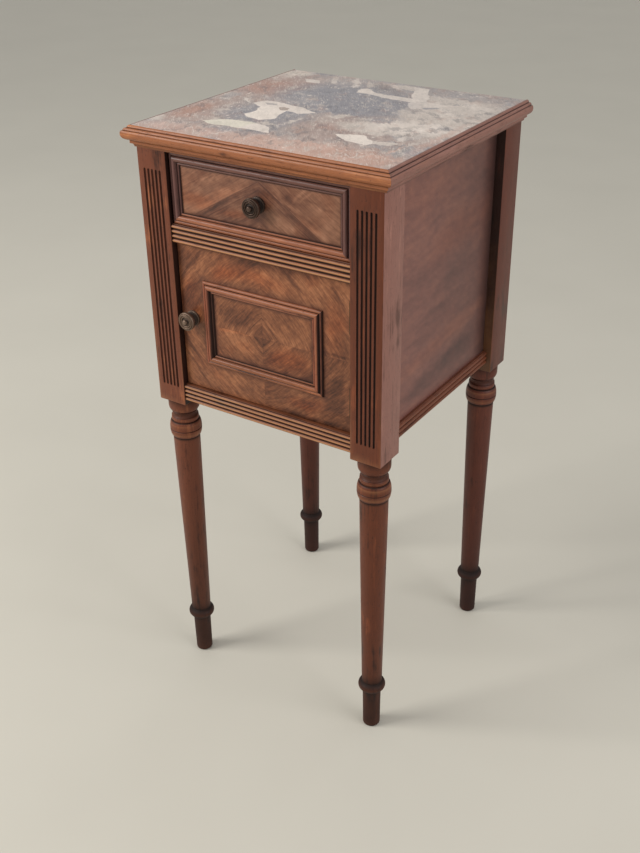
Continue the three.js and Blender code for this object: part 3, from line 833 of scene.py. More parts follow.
WHITE = tone(226, 214, 203)
CREAM = tone(216, 204, 194)
IVORY = tone(214, 206, 190)
BEIGE = tone(198, 186, 176)
SAND = tone(210, 197, 184)
ROSE = tone(196, 164, 150)
RUST = tone(170, 126, 108)
TAUPE = tone(166, 146, 138)
MAUVE = tone(166, 136, 126)
STONE = tone(158, 150, 148)
SLATE = tone(140, 137, 142)
DUSK = tone(106, 102, 105)
UMBER = tone(134, 112, 100)


@dataclass(frozen=True)
class Marble(Finish):
    """Brecciated marble: clouds of rose and slate, sharp cream shells, slanting streaks.

    The pattern goes down the slab's edges at a slant, so they show no straight streaks.
    """

    slant: float = -56.0
    level: float = 0.84
    drop: Pair = (0.7, 0.9)
    patches: tuple[Patch, ...] = (
        Patch(-134, 88, 58, 62, 0, MAUVE, 0.5),
        Patch(-158, 76, 28, 40, 0, RUST, 0.6, 0.6),
        Patch(-152, -72, 34, 84, 0, TAUPE, 0.5),
        Patch(-164, -70, 18, 46, 4, RUST, 0.5, 0.7),
        Patch(-18, 62, 104, 74, -10, SLATE, 0.35),
        Patch(-66, -48, 60, 44, 0, SLATE, 0.35, 0.9),
        Patch(-66, -134, 40, 12, 0, SLATE, 0.5, 0.5),
        Patch(44, -66, 58, 50, 0, TAUPE, 0.5),
        Patch(36, -60, 20, 14, 20, MAUVE, 0.5, 0.6),
        Patch(70, -156, 130, 34, 2, ROSE, 0.4),
        Patch(120, -150, 50, 20, 2, RUST, 0.7, 0.25),
        Patch(-112, -160, 66, 22, 0, ROSE, 0.5, 0.7),
        Patch(140, 50, 54, 104, 8, BEIGE, 0.30),
        Patch(114, -24, 78, 30, 16, BEIGE, 0.25),
        Patch(126, -14, 56, 26, 12, CREAM, 0.35),
        Patch(88, 156, 70, 20, 0, STONE, 0.5, 0.8),
        Patch(-78, 152, 60, 20, 18, BEIGE, 0.6, 0.35),
        Patch(-64, 124, 40, 46, -20, SLATE, 0.5, 0.6),
        Patch(-8, 146, 30, 14, -20, DUSK, 0.5, 0.35),
        Patch(-60, 156, 26, 5, -58, CREAM, 0.4, 0.85),
        Patch(-94, 152, 20, 4, -58, BEIGE, 0.4, 0.85),
        Patch(-38, 154, 22, 3.5, -60, BEIGE, 0.4, 0.8),
        Patch(-2, 162, 20, 5, -38, CREAM, 0.4, 0.75),
        Patch(-164, 166, 22, 20, 0, SAND, 0.4),
        Patch(92, 116, 30, 26, -20, BEIGE, 0.4),
        Patch(-134, 3, 14, 3, -38, CREAM, 0.4, 0.8),
        Patch(-22, -62, 3, 24, -6, BEIGE, 0.35, 0.9),
        Patch(-40, -88, 20, 2.5, -8, BEIGE, 0.35, 0.8),
        Patch(136, -64, 5, 9, 0, CREAM, 0.4, 0.7),
        Patch(160, -74, 4, 14, -10, BEIGE, 0.4, 0.7),
        Patch(20, -12, 16, 7, 48, BEIGE, 0.5, 0.8),
        Patch(74, -6, 17, 11, 34, SLATE, 0.35, 0.75),
        Patch(158, 2, 9, 8, 0, STONE, 0.5, 0.9),
        Patch(108, -27, 7, 6, 0, STONE, 0.5, 0.9),
        Patch(-128, -52, 9, 6, 0, BEIGE, 0.5, 0.7),
        Patch(-134, -62, 8, 5, 20, BEIGE, 0.5, 0.7),
        Patch(-176, -130, 9, 9, 0, BEIGE, 0.5, 0.8),
        Patch(-166, 6, 9, 26, 0, STONE, 0.6, 0.7),
        Patch(176, -40, 7, 70, 0, ROSE, 0.5, 0.6),
        Patch(128, 62, 34, 10, -50, CREAM, 0.5, 0.6),
        Patch(150, 112, 26, 12, -30, CREAM, 0.5, 0.5),
        Patch(84, 40, 22, 8, -50, BEIGE, 0.5, 0.7),
        Patch(122, -149, 18, 1.0, 78, CREAM, 0.4, 0.8),
        Patch(100, -152, 14, 0.9, 62, CREAM, 0.4, 0.7),
        Patch(153, -106, 22, 1.4, 80, ROSE, 0.4, 0.9),
        Patch(64, -157, 13, 0.9, 58, BEIGE, 0.4, 0.7),
        Patch(30, -146, 12, 0.8, 64, BEIGE, 0.4, 0.7),
        Patch(-62, -146, 16, 1.2, 70, CREAM, 0.4, 0.7),
        Patch(-100, -158, 18, 1.2, -40, CREAM, 0.4, 0.7),
        Patch(-30, -150, 14, 1.0, 60, BEIGE, 0.4, 0.7),
    )
    shards: tuple[Shard, ...] = (
        Shard(((-118, -8), (-95, -23), (-58, -19), (-62, 6), (-108, 12)), CREAM),
        Shard(((-60, -21), (-36, -27), (-16, -12), (-40, -1), (-62, 6)), CREAM),
        Shard(((-92, -60), (-84, -71), (-58, -77), (-46, -64), (-53, -36), (-87, -36)), WHITE),
        Shard(((-88, -46), (-52, -46), (-56, -17), (-99, -17)), WHITE),
        Shard(
            ((-108, -121), (-60, -119), (-50, -90), (-88, -91), (-106, -99), (-118, -114)), IVORY
        ),
        Shard(((-60, -119), (-13, -120), (-24, -104), (-38, -93), (-52, -89)), CREAM),
        Shard(((58, -84), (84, -102), (112, -108), (120, -93), (90, -70)), WHITE),
        Shard(((112, -86), (116, -97), (140, -94), (147, -82)), BEIGE),
        Shard(((-36, 130), (-32, 108), (-10, 107), (-6, 116), (-24, 133)), CREAM),
        Shard(((-12, 117), (-12, 106), (20, 99), (66, 97), (60, 114)), CREAM, 0.9),
        Shard(((58, 90), (76, 66), (97, 76), (112, 101), (60, 112)), CREAM, 0.7),
        Shard(((-4, 172), (12, 153), (52, 151), (38, 173)), BEIGE, 0.9),
        Shard(((24, 172), (40, 134), (62, 102), (78, 108), (64, 140), (46, 171)), CREAM, 0.95),
        Shard(((-136, 141), (-124, 126), (-104, 126), (-110, 142)), CREAM, 0.9),
        Shard(((-74, -12), (-66, -22), (-55, -19), (-58, -8), (-68, -6)), UMBER, 0.7),
        Shard(((-104, 2), (-96, -7), (-84, -5), (-86, 2)), STONE, 0.8),
        Shard(((88, 76), (96, 72), (110, 84), (102, 88)), SLATE, 0.8),
        Shard(((112, 110), (118, 106), (124, 112), (116, 118)), STONE, 0.8),
    )

    def _slanted(self, sheet: Sheet, point: Signal, squeeze: float) -> Signal:
        """Coordinates that run along and, squeezed, across the streaks."""
        inputs = {
            "Vector": point,
            "Rotation": (0.0, 0.0, math.radians(self.slant)),
            "Scale": (1.0, squeeze, 1.0),
        }
        return sheet.node("ShaderNodeMapping", {"vector_type": "TEXTURE"}, inputs)[0]

    def _streaked(self, sheet: Sheet, flat: Signal, slanted: Signal) -> Signal:
        """The point pushed along the slant, which draws the clouds out into streaks."""
        angle = math.radians(self.slant)
        push = (sheet.cloud(slanted, 24.0, 3.0, 0.6) - 0.5) * 0.034
        push = push + (sheet.cloud(slanted, 95.0, 3.0, 0.6) - 0.5) * 0.016
        return sheet.moved(flat, sheet.times((math.cos(angle), math.sin(angle), 0.0), push))

    def _clouds(self, sheet: Sheet, flat: Signal, streaked: Signal, broken: Signal) -> Signal:
        """The ground of the stone.

        Args:
            sheet: The node tree.
            flat: The point on the slab.
            streaked: The point pushed along the slant.
            broken: The streaked point with broken outlines.

        Returns:
            The colour.
        """
        clouds = sheet.cloud(sheet.drift(streaked, 30.0, 0.02), 24.0, 5.0, 0.65)
        stone = sheet.ramp(clouds, ((0.34, SLATE), (0.45, STONE), (0.56, TAUPE), (0.68, BEIGE)))
        for patch in self.patches:
            share = patch.mask(sheet, broken, patch.soft) * patch.share
            stone = sheet.mix(share, stone, patch.colour)
        veiled = sheet.cloud(flat, 16.0, 3.0)
        sunk = sheet.step(sheet.cloud(broken, 62.0, 4.0, 0.65), 0.49, 0.38)
        stone = sheet.mix(sunk * sheet.step(veiled, 0.62, 0.44) * 0.50, stone, DUSK)
        crushed = sheet.step(sheet.cloud(streaked, 70.0, 4.0, 0.68), 0.52, 0.62)
        stone = sheet.mix(crushed * sheet.step(veiled, 0.38, 0.56) * 0.62, stone, BEIGE)
        rusty = sheet.step(sheet.cloud(broken, 40.0, 3.0, 0.6), 0.54, 0.66)
        return sheet.mix(rusty * 0.22, stone, RUST)

    def _veins(
        self, sheet: Sheet, stone: Signal, flat: Signal, broken: Signal, crisp: Signal
    ) -> Signal:
        """Lays pale threads, veins, specks and a yellowish veil over the stone.

        Args:
            sheet: The node tree.
            stone: The colour so far.
            flat: The point on the slab.
            broken: The point with broken outlines.
            crisp: The point with crisp outlines.

        Returns:
            The colour.
        """
        threads = sheet.cloud(self._slanted(sheet, broken, 0.16), 75.0, 2.0, 0.5)
        gathered = sheet.step(sheet.cloud(flat, 17.0, 2.0), 0.42, 0.56)
        stone = sheet.mix(sheet.step(threads, 0.58, 0.68) * gathered * 0.60, stone, CREAM)
        drawn_out = self._slanted(sheet, sheet.drift(flat, 30.0, 0.004), 0.09)
        veins = sheet.step(sheet.cloud(drawn_out, 62.0, 3.0, 0.55), 0.56, 0.66)
        stone = sheet.mix(veins * 0.42, stone, CREAM)
        specks = sheet.step(sheet.cells(crisp, 95.0)["Distance"], 0.22, 0.12)
        sown = sheet.step(sheet.cloud(flat, 28.0, 2.0), 0.46, 0.58)
        stone = sheet.mix(specks * sown * 0.75, stone, WHITE)
        veil = sheet.step(sheet.cloud(flat, 13.0, 3.0), 0.54, 0.72)
        return sheet.mix(veil * 0.20, stone, SAND)

    def paint(self, sheet: Sheet) -> None:
        """Builds the node tree."""
        point = sheet.place()
        x, y, z = sheet.split(point)
        depth = z - self.level
        flat = sheet.vector(x + depth * self.drop[0], y + depth * self.drop[1], 0.0)
        slanted = self._slanted(sheet, sheet.drift(flat, 20.0, 0.006), 0.34)
        streaked = self._streaked(sheet, flat, slanted)
        broken = sheet.drift(sheet.drift(streaked, 30.0, 0.011, 5.0), 130.0, 0.0034, 3.0)
        crisp = sheet.drift(sheet.drift(flat, 42.0, 0.0060, 4.0), 190.0, 0.0018, 3.0)
        fine = sheet.cloud(broken, 210.0, 4.0, 0.7)
        stone = self._clouds(sheet, flat, streaked, broken)
        for shard in self.shards:
            stone = sheet.mix(shard.mask(sheet, crisp) * shard.share, stone, shard.colour)
        chip = sheet.split(sheet.cells(broken, 80.0)["Color"])[0]
        crumb = sheet.split(sheet.cells(slanted, 150.0)["Color"])[0]
        brush = sheet.cloud(slanted, 60.0, 4.0, 0.65)
        grit = 0.55 + chip * 0.13 + crumb * 0.04 + brush * 0.44 + fine * 0.30
        stone = self._veins(sheet, sheet.times(stone, grit), flat, broken, crisp)
        wear = sheet.cloud(point, 34.0, 4.0, 0.6)
        sheet.surface(
            {
                "Base Color": stone,
                "Roughness": 0.34 + wear * 0.22,
                "Specular IOR Level": 0.36,
                "Normal": sheet.bumped(wear * 0.6 + fine * 0.4, 0.00010),
            }
        )


@dataclass(frozen=True)
class OldMetal(Finish):
    """Cast or drawn metal with patina: bright where rubbed, dark in the hollows."""

    bright: Colour
    body: Colour
    dark: Colour
    gloss: float = 0.40
    bright_share: float = 0.5

    def paint(self, sheet: Sheet) -> None:
        """Builds the node tree."""
        point = sheet.place()
        patch = sheet.cloud(point, 240.0, 4.0, 0.65)
        grain = sheet.cloud(point, 1400.0, 2.0)
        dirt_shade_and_sheen = sheet.attribute("dirt_shade_and_sheen") + (patch - 0.5) * 1.2
        rubbed = sheet.step(dirt_shade_and_sheen, 0.05, -0.85) * self.bright_share
        hollow = sheet.step(dirt_shade_and_sheen, 0.10, 0.80)
        metal = sheet.mix(rubbed, self.body, self.bright)
        metal = sheet.mix(hollow * 0.9, metal, self.dark)
        metal = sheet.times(metal, 0.85 + grain * 0.3)
        sheet.surface(
            {
                "Base Color": metal,
                "Metallic": 0.75 - hollow * 0.45,
                "Roughness": self.gloss + hollow * 0.25 + (patch - 0.5) * 0.30,
                "Normal": sheet.bumped(patch * 0.8 + grain * 0.2, 0.0007),
            }
        )


@dataclass(frozen=True)
class PaleFloor(Finish):
    """Plain pale floor with the faintest mottle."""

    light: Colour = tone(206, 202, 190)
    shade: Colour = tone(198, 194, 182)

    def paint(self, sheet: Sheet) -> None:
        """Builds the node tree."""
        mottle = sheet.cloud(sheet.place(), 3.0, 3.0)
        sheet.surface(
            {
                "Base Color": sheet.mix(mottle, self.shade, self.light),
                "Roughness": 0.55 + mottle * 0.1,
                "Specular IOR Level": 0.3,
            }
        )


class Paintbox:
    """Makes each finish once and hands it out."""

    def __init__(self) -> None:
        """Starts with no finish made."""
        self.made: dict[Finish, bpy.types.Material] = {}

    def __getitem__(self, finish: Finish) -> bpy.types.Material:
        """The material of a finish."""
        if finish not in self.made:
            self.made[finish] = finish.make()
        return self.made[finish]


PAINTS = Paintbox()
WALNUT_WIDE = Walnut("walnut_across", Grain.WIDE, seed=3.1)
WALNUT_DEEP = Walnut("walnut_front_to_back", Grain.DEEP, seed=7.7)
WALNUT_LEFT = Walnut("walnut_left_post", Grain.UP, body=tone(109, 61, 39), seed=1.7, foot=0.50)
WALNUT_RIGHT = Walnut(
    "walnut_right_post",
    Grain.UP,
    deep=tone(52, 24, 12),
    body=tone(96, 50, 28),
    warm=tone(128, 70, 40),
    seed=5.2,
    foot=0.84,
)
WALNUT_BACK = Walnut(
    "walnut_back_posts", Grain.UP, body=tone(90, 46, 32), warm=tone(110, 60, 40), seed=9.4
)
WALNUT_RAIL = Walnut(
    "walnut_reeds", Grain.WIDE, body=tone(122, 76, 50), rubbed=tone(206, 150, 102), seed=6.3
)


def toned(name: str, grain: Grain, seed: float, *tones: Colour) -> Walnut:
    """Walnut in its own deep, body and warm tones, and rubbed colour where given, for rubbed wear
    and a painted highlight.
    """
    fields = ("deep", "body", "warm", "rubbed")
    return Walnut(name, grain, seed=seed, **dict(zip(fields, tones)))


# Mauve copy of walnut for the posts' faces that look sideways: faded wood with painted cool side
# light.
WALNUT_FADED_AND_SIDE_LIT = toned(
    "walnut_faded_and_side_lit", Grain.UP, 2.6, tone(92, 58, 48), tone(138, 100, 88), tone(164, 122, 106)
)
# Near-black walnut on faces in the recesses beside the drawer and door and on the back posts'
# fronts: painted shade.
WALNUT_PAINTED_SHADE = toned(
    "walnut_painted_recess_shade", Grain.UP, 0.0, tone(20, 10, 7), tone(40, 21, 15), tone(58, 32, 23)
)
TOP_FRONT = toned(
    "walnut_top_front", Grain.WIDE, 4.1, tone(90, 50, 28), tone(152, 98, 62), tone(184, 124, 76)
)
# The side mouldings get a mauve copy of the front moulding's walnut: faded wood with painted cool
# side light.
TOP_SIDE = toned(
    "walnut_top_side", Grain.DEEP, 8.8, tone(84, 56, 48), tone(134, 98, 86), tone(158, 120, 106)
)
FRAME_WIDE = toned(
    "walnut_frame_across", Grain.WIDE, 5.9, tone(84, 46, 28), tone(146, 94, 66), tone(178, 118, 82)
)
FRAME_LOW = toned(
    "walnut_frame_low", Grain.WIDE, 6.9, tone(70, 38, 24), tone(130, 82, 54), tone(160, 102, 66)
)
FRAME_UP = toned(
    "walnut_frame_upright", Grain.UP, 2.3, tone(74, 40, 27), tone(138, 82, 58), tone(162, 102, 72)
)
PURPLE_WIDE = toned(
    "walnut_dark_frame_across",
    Grain.WIDE,
    7.1,
    *(tone(64, 42, 37), tone(102, 71, 61), tone(122, 86, 72), tone(142, 106, 94)),
)
PURPLE_UP = toned(
    "walnut_dark_frame_upright",
    Grain.UP,
    1.1,
    *(tone(60, 38, 34), tone(96, 66, 60), tone(116, 82, 72), tone(140, 104, 94)),
)
DOOR_FRAME = {"bottom": FRAME_LOW, "top": FRAME_WIDE, "left": FRAME_UP, "right": FRAME_UP}
# The drawer's top bar and uprights are darker purple walnut: painted shade of its recess under the
# top's overhang.
DRAWER_FRAME = {"bottom": FRAME_WIDE, "top": PURPLE_WIDE, "left": PURPLE_UP, "right": PURPLE_UP}
PLANED_UP = Planed("planed_upright", Grain.UP, seed=1.3)
STAINED_BACK = Planed(
    "stained_door_back",
    Grain.UP,
    dark=tone(86, 50, 32),
    light=tone(128, 80, 52),
    dust=tone(78, 50, 36),
    seed=2.2,
)
PLANED_WIDE = Planed("planed_across", Grain.WIDE, seed=4.9)
PLANED_DEEP = Planed("planed_front_to_back", Grain.DEEP, seed=8.2)
SIDE_VENEER = SideVeneer("side_veneer_faded_and_side_lit")
DRAWER_VENEER = DrawerVeneer(
    "drawer_veneer",
    dark=tone(62, 38, 30),
    brown=tone(102, 68, 52),
    tan=tone(128, 91, 69),
    gold=tone(154, 114, 88),
    pale=tone(176, 138, 110),
    bands=0.34,
    lines=0.36,
    mottle=0.74,
    blushes=(
        Blush(-88, 781, 28, 11, 0, 0.02),
        Blush(-98, 757, 22, 10, 0, 0.02, 0.5),
        Blush(-64, 760, 42, 3.6, 27, 0.15, 0.3),
        Blush(-58, 771, 30, 4.0, 24, 0.05, 0.2),
        Blush(-64, 752, 36, 2.2, 29, -0.14),
        Blush(-38, 785, 16, 5, 20, -0.12),
        Blush(-36, 748, 26, 5, 8, 0.02, 0.5),
        Blush(-8, 751, 14, 8, 0, -0.10),
        Blush(44, 748, 22, 9, 0, 0.17),
        Blush(-8, 778, 10, 13, 0, -0.12),
        Blush(24, 768, 14, 12, -30, 0.03),
        Blush(74, 754, 36, 4, -36, 0.15, 0.1),
        Blush(90, 745, 18, 6, 0, 0.06),
        Blush(45, 780, 9, 4, -26, -0.20),
        Blush(84, 779, 34, 1.6, -14, -0.10),
        Blush(52, 768, 30, 1.6, -20, -0.12),
        Blush(62, 789, 14, 1.6, 42, 0.12),
        Blush(72, 790, 12, 1.4, 44, 0.12),
        Blush(-70, 788, 12, 1.6, 38, 0.10),
        Blush(-84, 785, 12, 1.6, 38, 0.08),
        Blush(106, 768, 10, 20, 0, 0.02),
        Blush(0, 782, 20, 8, 0, -0.02),
    ),
)
DOOR_VENEER = DoorVeneer(
    "door_veneer",
    blushes=(
        Blush(-124, 676, 16, 12, 0, -0.12),
        Blush(-112, 668, 30, 2.2, 52, -0.16),
        Blush(-104, 664, 30, 2.0, 50, 0.10),
        Blush(-30, 672, 34, 11, 4, 0.08, 0.4),
        Blush(-62, 664, 20, 8, 20, 0.02, 0.3),
        Blush(17, 667, 26, 10, -6, 0.09, 0.2),
        Blush(44, 680, 26, 3.0, -40, -0.12),
        Blush(58, 668, 30, 2.5, -42, -0.10),
        Blush(-13, 687, 22, 6, 0, -0.16),
        Blush(34, 690, 40, 5, 0, -0.12),
        Blush(107, 632, 14, 34, 0, 0.0, 0.3),
        Blush(92, 672, 22, 5, -52, 0.13),
        Blush(116, 668, 30, 2.4, -58, -0.14),
        Blush(-114, 618, 16, 26, 0, -0.06, 0.3),
        Blush(-104, 536, 28, 34, -20, 0.02),
        Blush(-118, 548, 30, 2.2, -55, -0.14),
        Blush(-112, 520, 34, 2.2, -52, -0.12),
        Blush(-49, 510, 46, 14, 0, 0.01),
        Blush(22, 512, 22, 18, 0, -0.14),
        Blush(64, 514, 24, 8, 10, 0.00, 0.4),
        # Painted shade along the door's lower edge.
        Blush(78, 492, 54, 5, 0, -0.30),
        Blush(108, 506, 22, 16, 0, -0.16),
        Blush(106, 532, 16, 22, 0, -0.19),
        Blush(112, 566, 16, 22, 0, -0.06),
        Blush(112, 594, 18, 1.6, 0, -0.16),
        Blush(-50, 612, 34, 14, 0, -0.17),
        Blush(-40, 600, 22, 6, 0, -0.10),
        Blush(-54, 588.5, 26, 2.2, 0, 0.14, 0.3),
        Blush(37, 615, 32, 16, 0, -0.13),
        Blush(43, 618, 9, 6, 0, 0.12),
        Blush(60, 606, 12, 10, 0, 0.06),
        Blush(16, 604, 26, 2.6, -44, 0.12),
        Blush(-44, 570, 36, 14, -12, 0.13),
        Blush(-30, 556, 26, 4, -28, -0.08),
        Blush(30, 580, 26, 3.0, 40, 0.10),
        Blush(38, 568, 28, 14, 10, 0.07, 0.5),
        Blush(66, 556, 12, 14, 0, -0.18),
        Blush(10, 556, 14, 12, 0, -0.10),
    ),
)
BRECCIA = Marble("breccia_marble")
DARK_BRONZE = OldMetal("dark_bronze", tone(122, 102, 90), tone(68, 52, 43), tone(28, 19, 15))
GREY_BRONZE = OldMetal(
    "grey_bronze", tone(158, 138, 122), tone(110, 90, 76), tone(48, 36, 29), 0.44
)
HINGE_BRASS = OldMetal("hinge_brass", tone(128, 102, 66), tone(78, 60, 40), tone(34, 24, 16), 0.46)
DULL_BRASS = OldMetal("dull_brass", tone(214, 180, 116), tone(166, 130, 76), tone(70, 50, 28), 0.36)


# ---------------------------------------------------------------- bench work


def alone(piece: bpy.types.Object) -> None:
    """Selects one piece and nothing else."""
    bpy.ops.object.select_all(action="DESELECT")
    piece.select_set(True)
    bpy.context.view_layer.objects.active = piece


@contextmanager
def at_bench(piece: bpy.types.Object, pick: bool = True) -> Iterator[None]:
    """Opens a piece in edit mode for a while.

    Args:
        piece: The piece.
        pick: Whether all of it is selected to begin with.
    """
    alone(piece)
    bpy.ops.object.mode_set(mode="EDIT")
    bpy.ops.mesh.select_mode(type="VERT")
    bpy.ops.mesh.select_all(action="SELECT" if pick else "DESELECT")
    try:
        yield
    finally:
        bpy.ops.object.mode_set(mode="OBJECT")


def settle(piece: bpy.types.Object) -> None:
    """Moves a piece's place, turn and size into its mesh."""
    alone(piece)
    bpy.ops.object.transform_apply(location=True, rotation=True, scale=True)


def block(name: str, middle: Spot, size: Spot) -> bpy.types.Object:
    """A plain block from its middle and its three sizes, in millimetres."""
    bpy.ops.object.select_all(action="DESELECT")
    bpy.ops.mesh.primitive_cube_add(size=1.0, location=[c * MM for c in middle])
    piece = bpy.context.object
    piece.name = name
    piece.data.name = name
    piece.scale = [c * MM for c in size]
    settle(piece)
    return piece


def drawn(name: str, points: Sequence[Vector], filled: bool = True) -> bpy.types.Object:
    """Draws an outline point by point.

    Args:
        name: The new piece's name.
        points: The outline's points in metres.
        filled: Whether the outline closes into a face.

    Returns:
        The new piece.
    """
    bpy.ops.object.select_all(action="DESELECT")
    bpy.ops.mesh.primitive_plane_add(size=MM, location=points[0])
    piece = bpy.context.object
    piece.name = name
    piece.data.name = name
    with at_bench(piece):
        bpy.ops.mesh.merge(type="CENTER")
        for here, there in zip(points, points[1:]):
            bpy.ops.mesh.extrude_vertices_move(TRANSFORM_OT_translate={"value": there - here})
        if filled:
            bpy.ops.mesh.select_all(action="SELECT")
            bpy.ops.mesh.edge_face_add()
    settle(piece)
    return piece


def cleaned(piece: bpy.types.Object) -> bpy.types.Object:
    """Merges doubles and points all faces outwards."""
    with at_bench(piece):
        bpy.ops.mesh.remove_doubles(threshold=WELD)
        bpy.ops.mesh.normals_make_consistent(inside=False)
    return piece


def pulled(piece: bpy.types.Object, by: Vector) -> bpy.types.Object:
    """Extrudes a flat outline into a bar."""
    with at_bench(piece):
        bpy.ops.mesh.extrude_region_move(TRANSFORM_OT_translate={"value": by})
        bpy.ops.mesh.select_all(action="SELECT")
        bpy.ops.mesh.normals_make_consistent(inside=False)
    return piece


def sawn(piece: bpy.types.Object, at: Vector, off: Vector) -> bpy.types.Object:
    """Saws a bar across and drops the part on the side that off points to."""
    with at_bench(piece):
        bpy.ops.mesh.bisect(plane_co=at, plane_no=off, use_fill=True, clear_outer=True)
    return piece


def turned(
    name: str, outline: Outline, foot: Vector, axis: Vector, out: Vector, steps: int
) -> bpy.types.Object:
    """Turns an outline on the lathe.

    Args:
        name: The new piece's name.
        outline: Points as radius and height in millimetres, with their dirt and shade value.
        foot: Where height zero is, in metres.
        axis: The way height grows.
        out: The way the first radius points.
        steps: Facets round the piece.

    Returns:
        The new piece.
    """
    points = [foot + out * (r * MM) + axis * (h * MM) for r, h, _ in outline]
    piece = drawn(name, points, filled=False)
    with at_bench(piece):
        bpy.ops.mesh.spin(steps=steps, angle=math.tau, center=foot, axis=axis)
    return cleaned(piece)


def applied(piece: bpy.types.Object, kind: str, settings: Mapping[str, object]) -> bpy.types.Object:
    """Adds a modifier with its settings and applies it."""
    modifier = piece.modifiers.new(kind.lower(), kind)
    for key, value in settings.items():
        setattr(modifier, key, value)
    alone(piece)
    bpy.ops.object.modifier_apply(modifier=modifier.name)
    return piece


def worked(piece: bpy.types.Object, tool: bpy.types.Object, how: Union) -> bpy.types.Object:
    """Joins a tool to a piece or cuts the piece with it, and uses the tool up."""
    applied(piece, "BOOLEAN", {"operation": how.value, "object": tool, "solver": "EXACT"})
    bpy.data.objects.remove(tool)
    return piece


def copied(piece: bpy.types.Object, name: str, by: Vector | None = None) -> bpy.types.Object:
    """A copy with its own mesh, moved where asked."""
    twin = piece.copy()
    twin.data = piece.data.copy()
    twin.name = name
    twin.data.name = name
    twin.parent = None
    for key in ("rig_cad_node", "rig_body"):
        if key in twin:
            del twin[key]
    bpy.context.scene.collection.objects.link(twin)
    if by is not None:
        twin.location = by
        settle(twin)
    return twin


def from_board(node: str, name: str) -> bpy.types.Object:
    """A clean copy of a board of the frame, with flat faces as single faces."""
    piece = copied(frame["nodes"][node], name)
    with at_bench(piece):
        bpy.ops.mesh.remove_doubles(threshold=WELD)
        bpy.ops.mesh.dissolve_limited(angle_limit=FLAT)
    if "custom_normal" in piece.data.attributes:
        piece.data.attributes.remove(piece.data.attributes["custom_normal"])
    return piece


def eased(
    piece: bpy.types.Object,
    width: float,
    wanted: Callable[[Vector, Vector], bool],
    segments: int,
) -> None:
    """Rounds over the edges that a test picks.

    Args:
        piece: The piece.
        width: Width of the rounding in millimetres.
        wanted: Says for an edge's two ends whether it is rounded.
        segments: Facets across the rounding.
    """
    with at_bench(piece, pick=False):
        bpy.ops.mesh.select_mode(type="EDGE")
    mesh = piece.data
    for edge in mesh.edges:
        edge.select = wanted(*(mesh.vertices[i].co for i in edge.vertices))
    bpy.ops.object.mode_set(mode="EDIT")
    bpy.ops.mesh.bevel(offset=width * MM, segments=segments, affect="EDGES", clamp_overlap=True)
    bpy.ops.object.mode_set(mode="OBJECT")


def outer_edges(piece: bpy.types.Object) -> Callable[[Vector, Vector], bool]:
    """A test for the edges where two sides of a piece's own box meet."""
    low = Vector(min(v.co[i] for v in piece.data.vertices) for i in range(3))
    high = Vector(max(v.co[i] for v in piece.data.vertices) for i in range(3))

    def test(first: Vector, second: Vector) -> bool:
        """Whether both ends lie on the same two sides of the box."""
        sides = 0
        for i in range(3):
            for level in (low[i], high[i]):
                sides += all(abs(end[i] - level) < TOUCH for end in (first, second))
        return sides >= 2

    return test


def soiled_and_shaded(piece: bpy.types.Object, values: Sequence[float]) -> None:
    """Writes each vertex's dirt, painted shade and painted highlight."""
    layer = piece.data.attributes.new("dirt_shade_and_sheen", "FLOAT", "POINT")
    layer.data.foreach_set("value", values)


def dirt_and_shade_at(outline: Outline, u: float, v: float) -> float:
    """The dirt and shade value of the outline's point that is nearest to a place."""
    return min(outline, key=lambda spot: (spot[0] - u) ** 2 + (spot[1] - v) ** 2)[2]


@dataclass(frozen=True)
class Lay:
    """Where a section lies in the cabinet: its zero in millimetres and its two ways."""

    zero: Spot
    across: Spot
    rise: Spot

    def point(self, u: float, v: float) -> Vector:
        """A point of the section, in metres."""
        return Vector(z + a * u + r * v for z, a, r in zip(self.zero, self.across, self.rise)) * MM

    def bar(self, name: str, outline: Outline, run: Vector) -> bpy.types.Object:
        """Draws a section and pulls it into a bar.

        Args:
            name: The new piece's name.
            outline: The section.
            run: The bar's way and length, in metres.

        Returns:
            The bar.
        """
        return pulled(drawn(name, [self.point(u, v) for u, v, _ in outline]), run)

    def soil_and_shade(self, piece: bpy.types.Object, outline: Outline) -> None:
        """Gives each vertex the dirt and shade value of the nearest point of the section it was
        made from.
        """
        values = []
        for vertex in piece.data.vertices:
            offset = [c / MM - z for c, z in zip(vertex.co, self.zero)]
            u, v = (sum(w * o for w, o in zip(way, offset)) for way in (self.across, self.rise))
            values.append(dirt_and_shade_at(outline, u, v))
        soiled_and_shaded(piece, values)


def dressed(piece: bpy.types.Object, finish: Finish, angle: float) -> None:
    """Gives a piece its finish and smooth shading below an angle in degrees."""
    piece.data.materials.clear()
    piece.data.materials.append(PAINTS[finish])
    alone(piece)
    bpy.ops.object.shade_smooth_by_angle(angle=math.radians(angle))


def faced(piece: bpy.types.Object, finish: Finish, outward: Vector, above: float = 0.0) -> None:
    """Lays another finish on the faces that look one way, above a height in metres."""
    piece.data.materials.append(PAINTS[finish])
    slot = len(piece.data.materials) - 1
    for face in piece.data.polygons:
        if face.normal.dot(outward) > FACING and face.center.z > above:
            face.material_index = slot


def fitted(piece: bpy.types.Object, body: str, node: str) -> None:
    """Hands a finished piece to its body in place of its node."""
    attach(piece, body)
    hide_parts(node)
    log.info("%s rides on %s, %d faces", piece.name, body, len(piece.data.polygons))


def repaint(finish: Finish, *nodes: str) -> None:
    """Gives nodes of the frame their finish and leaves their shapes."""
    for node in nodes:
        materials = frame["nodes"][node].data.materials
        materials.clear()
        materials.append(PAINTS[finish])
        log.info("%s keeps its shape and gets %s", node, finish.name)


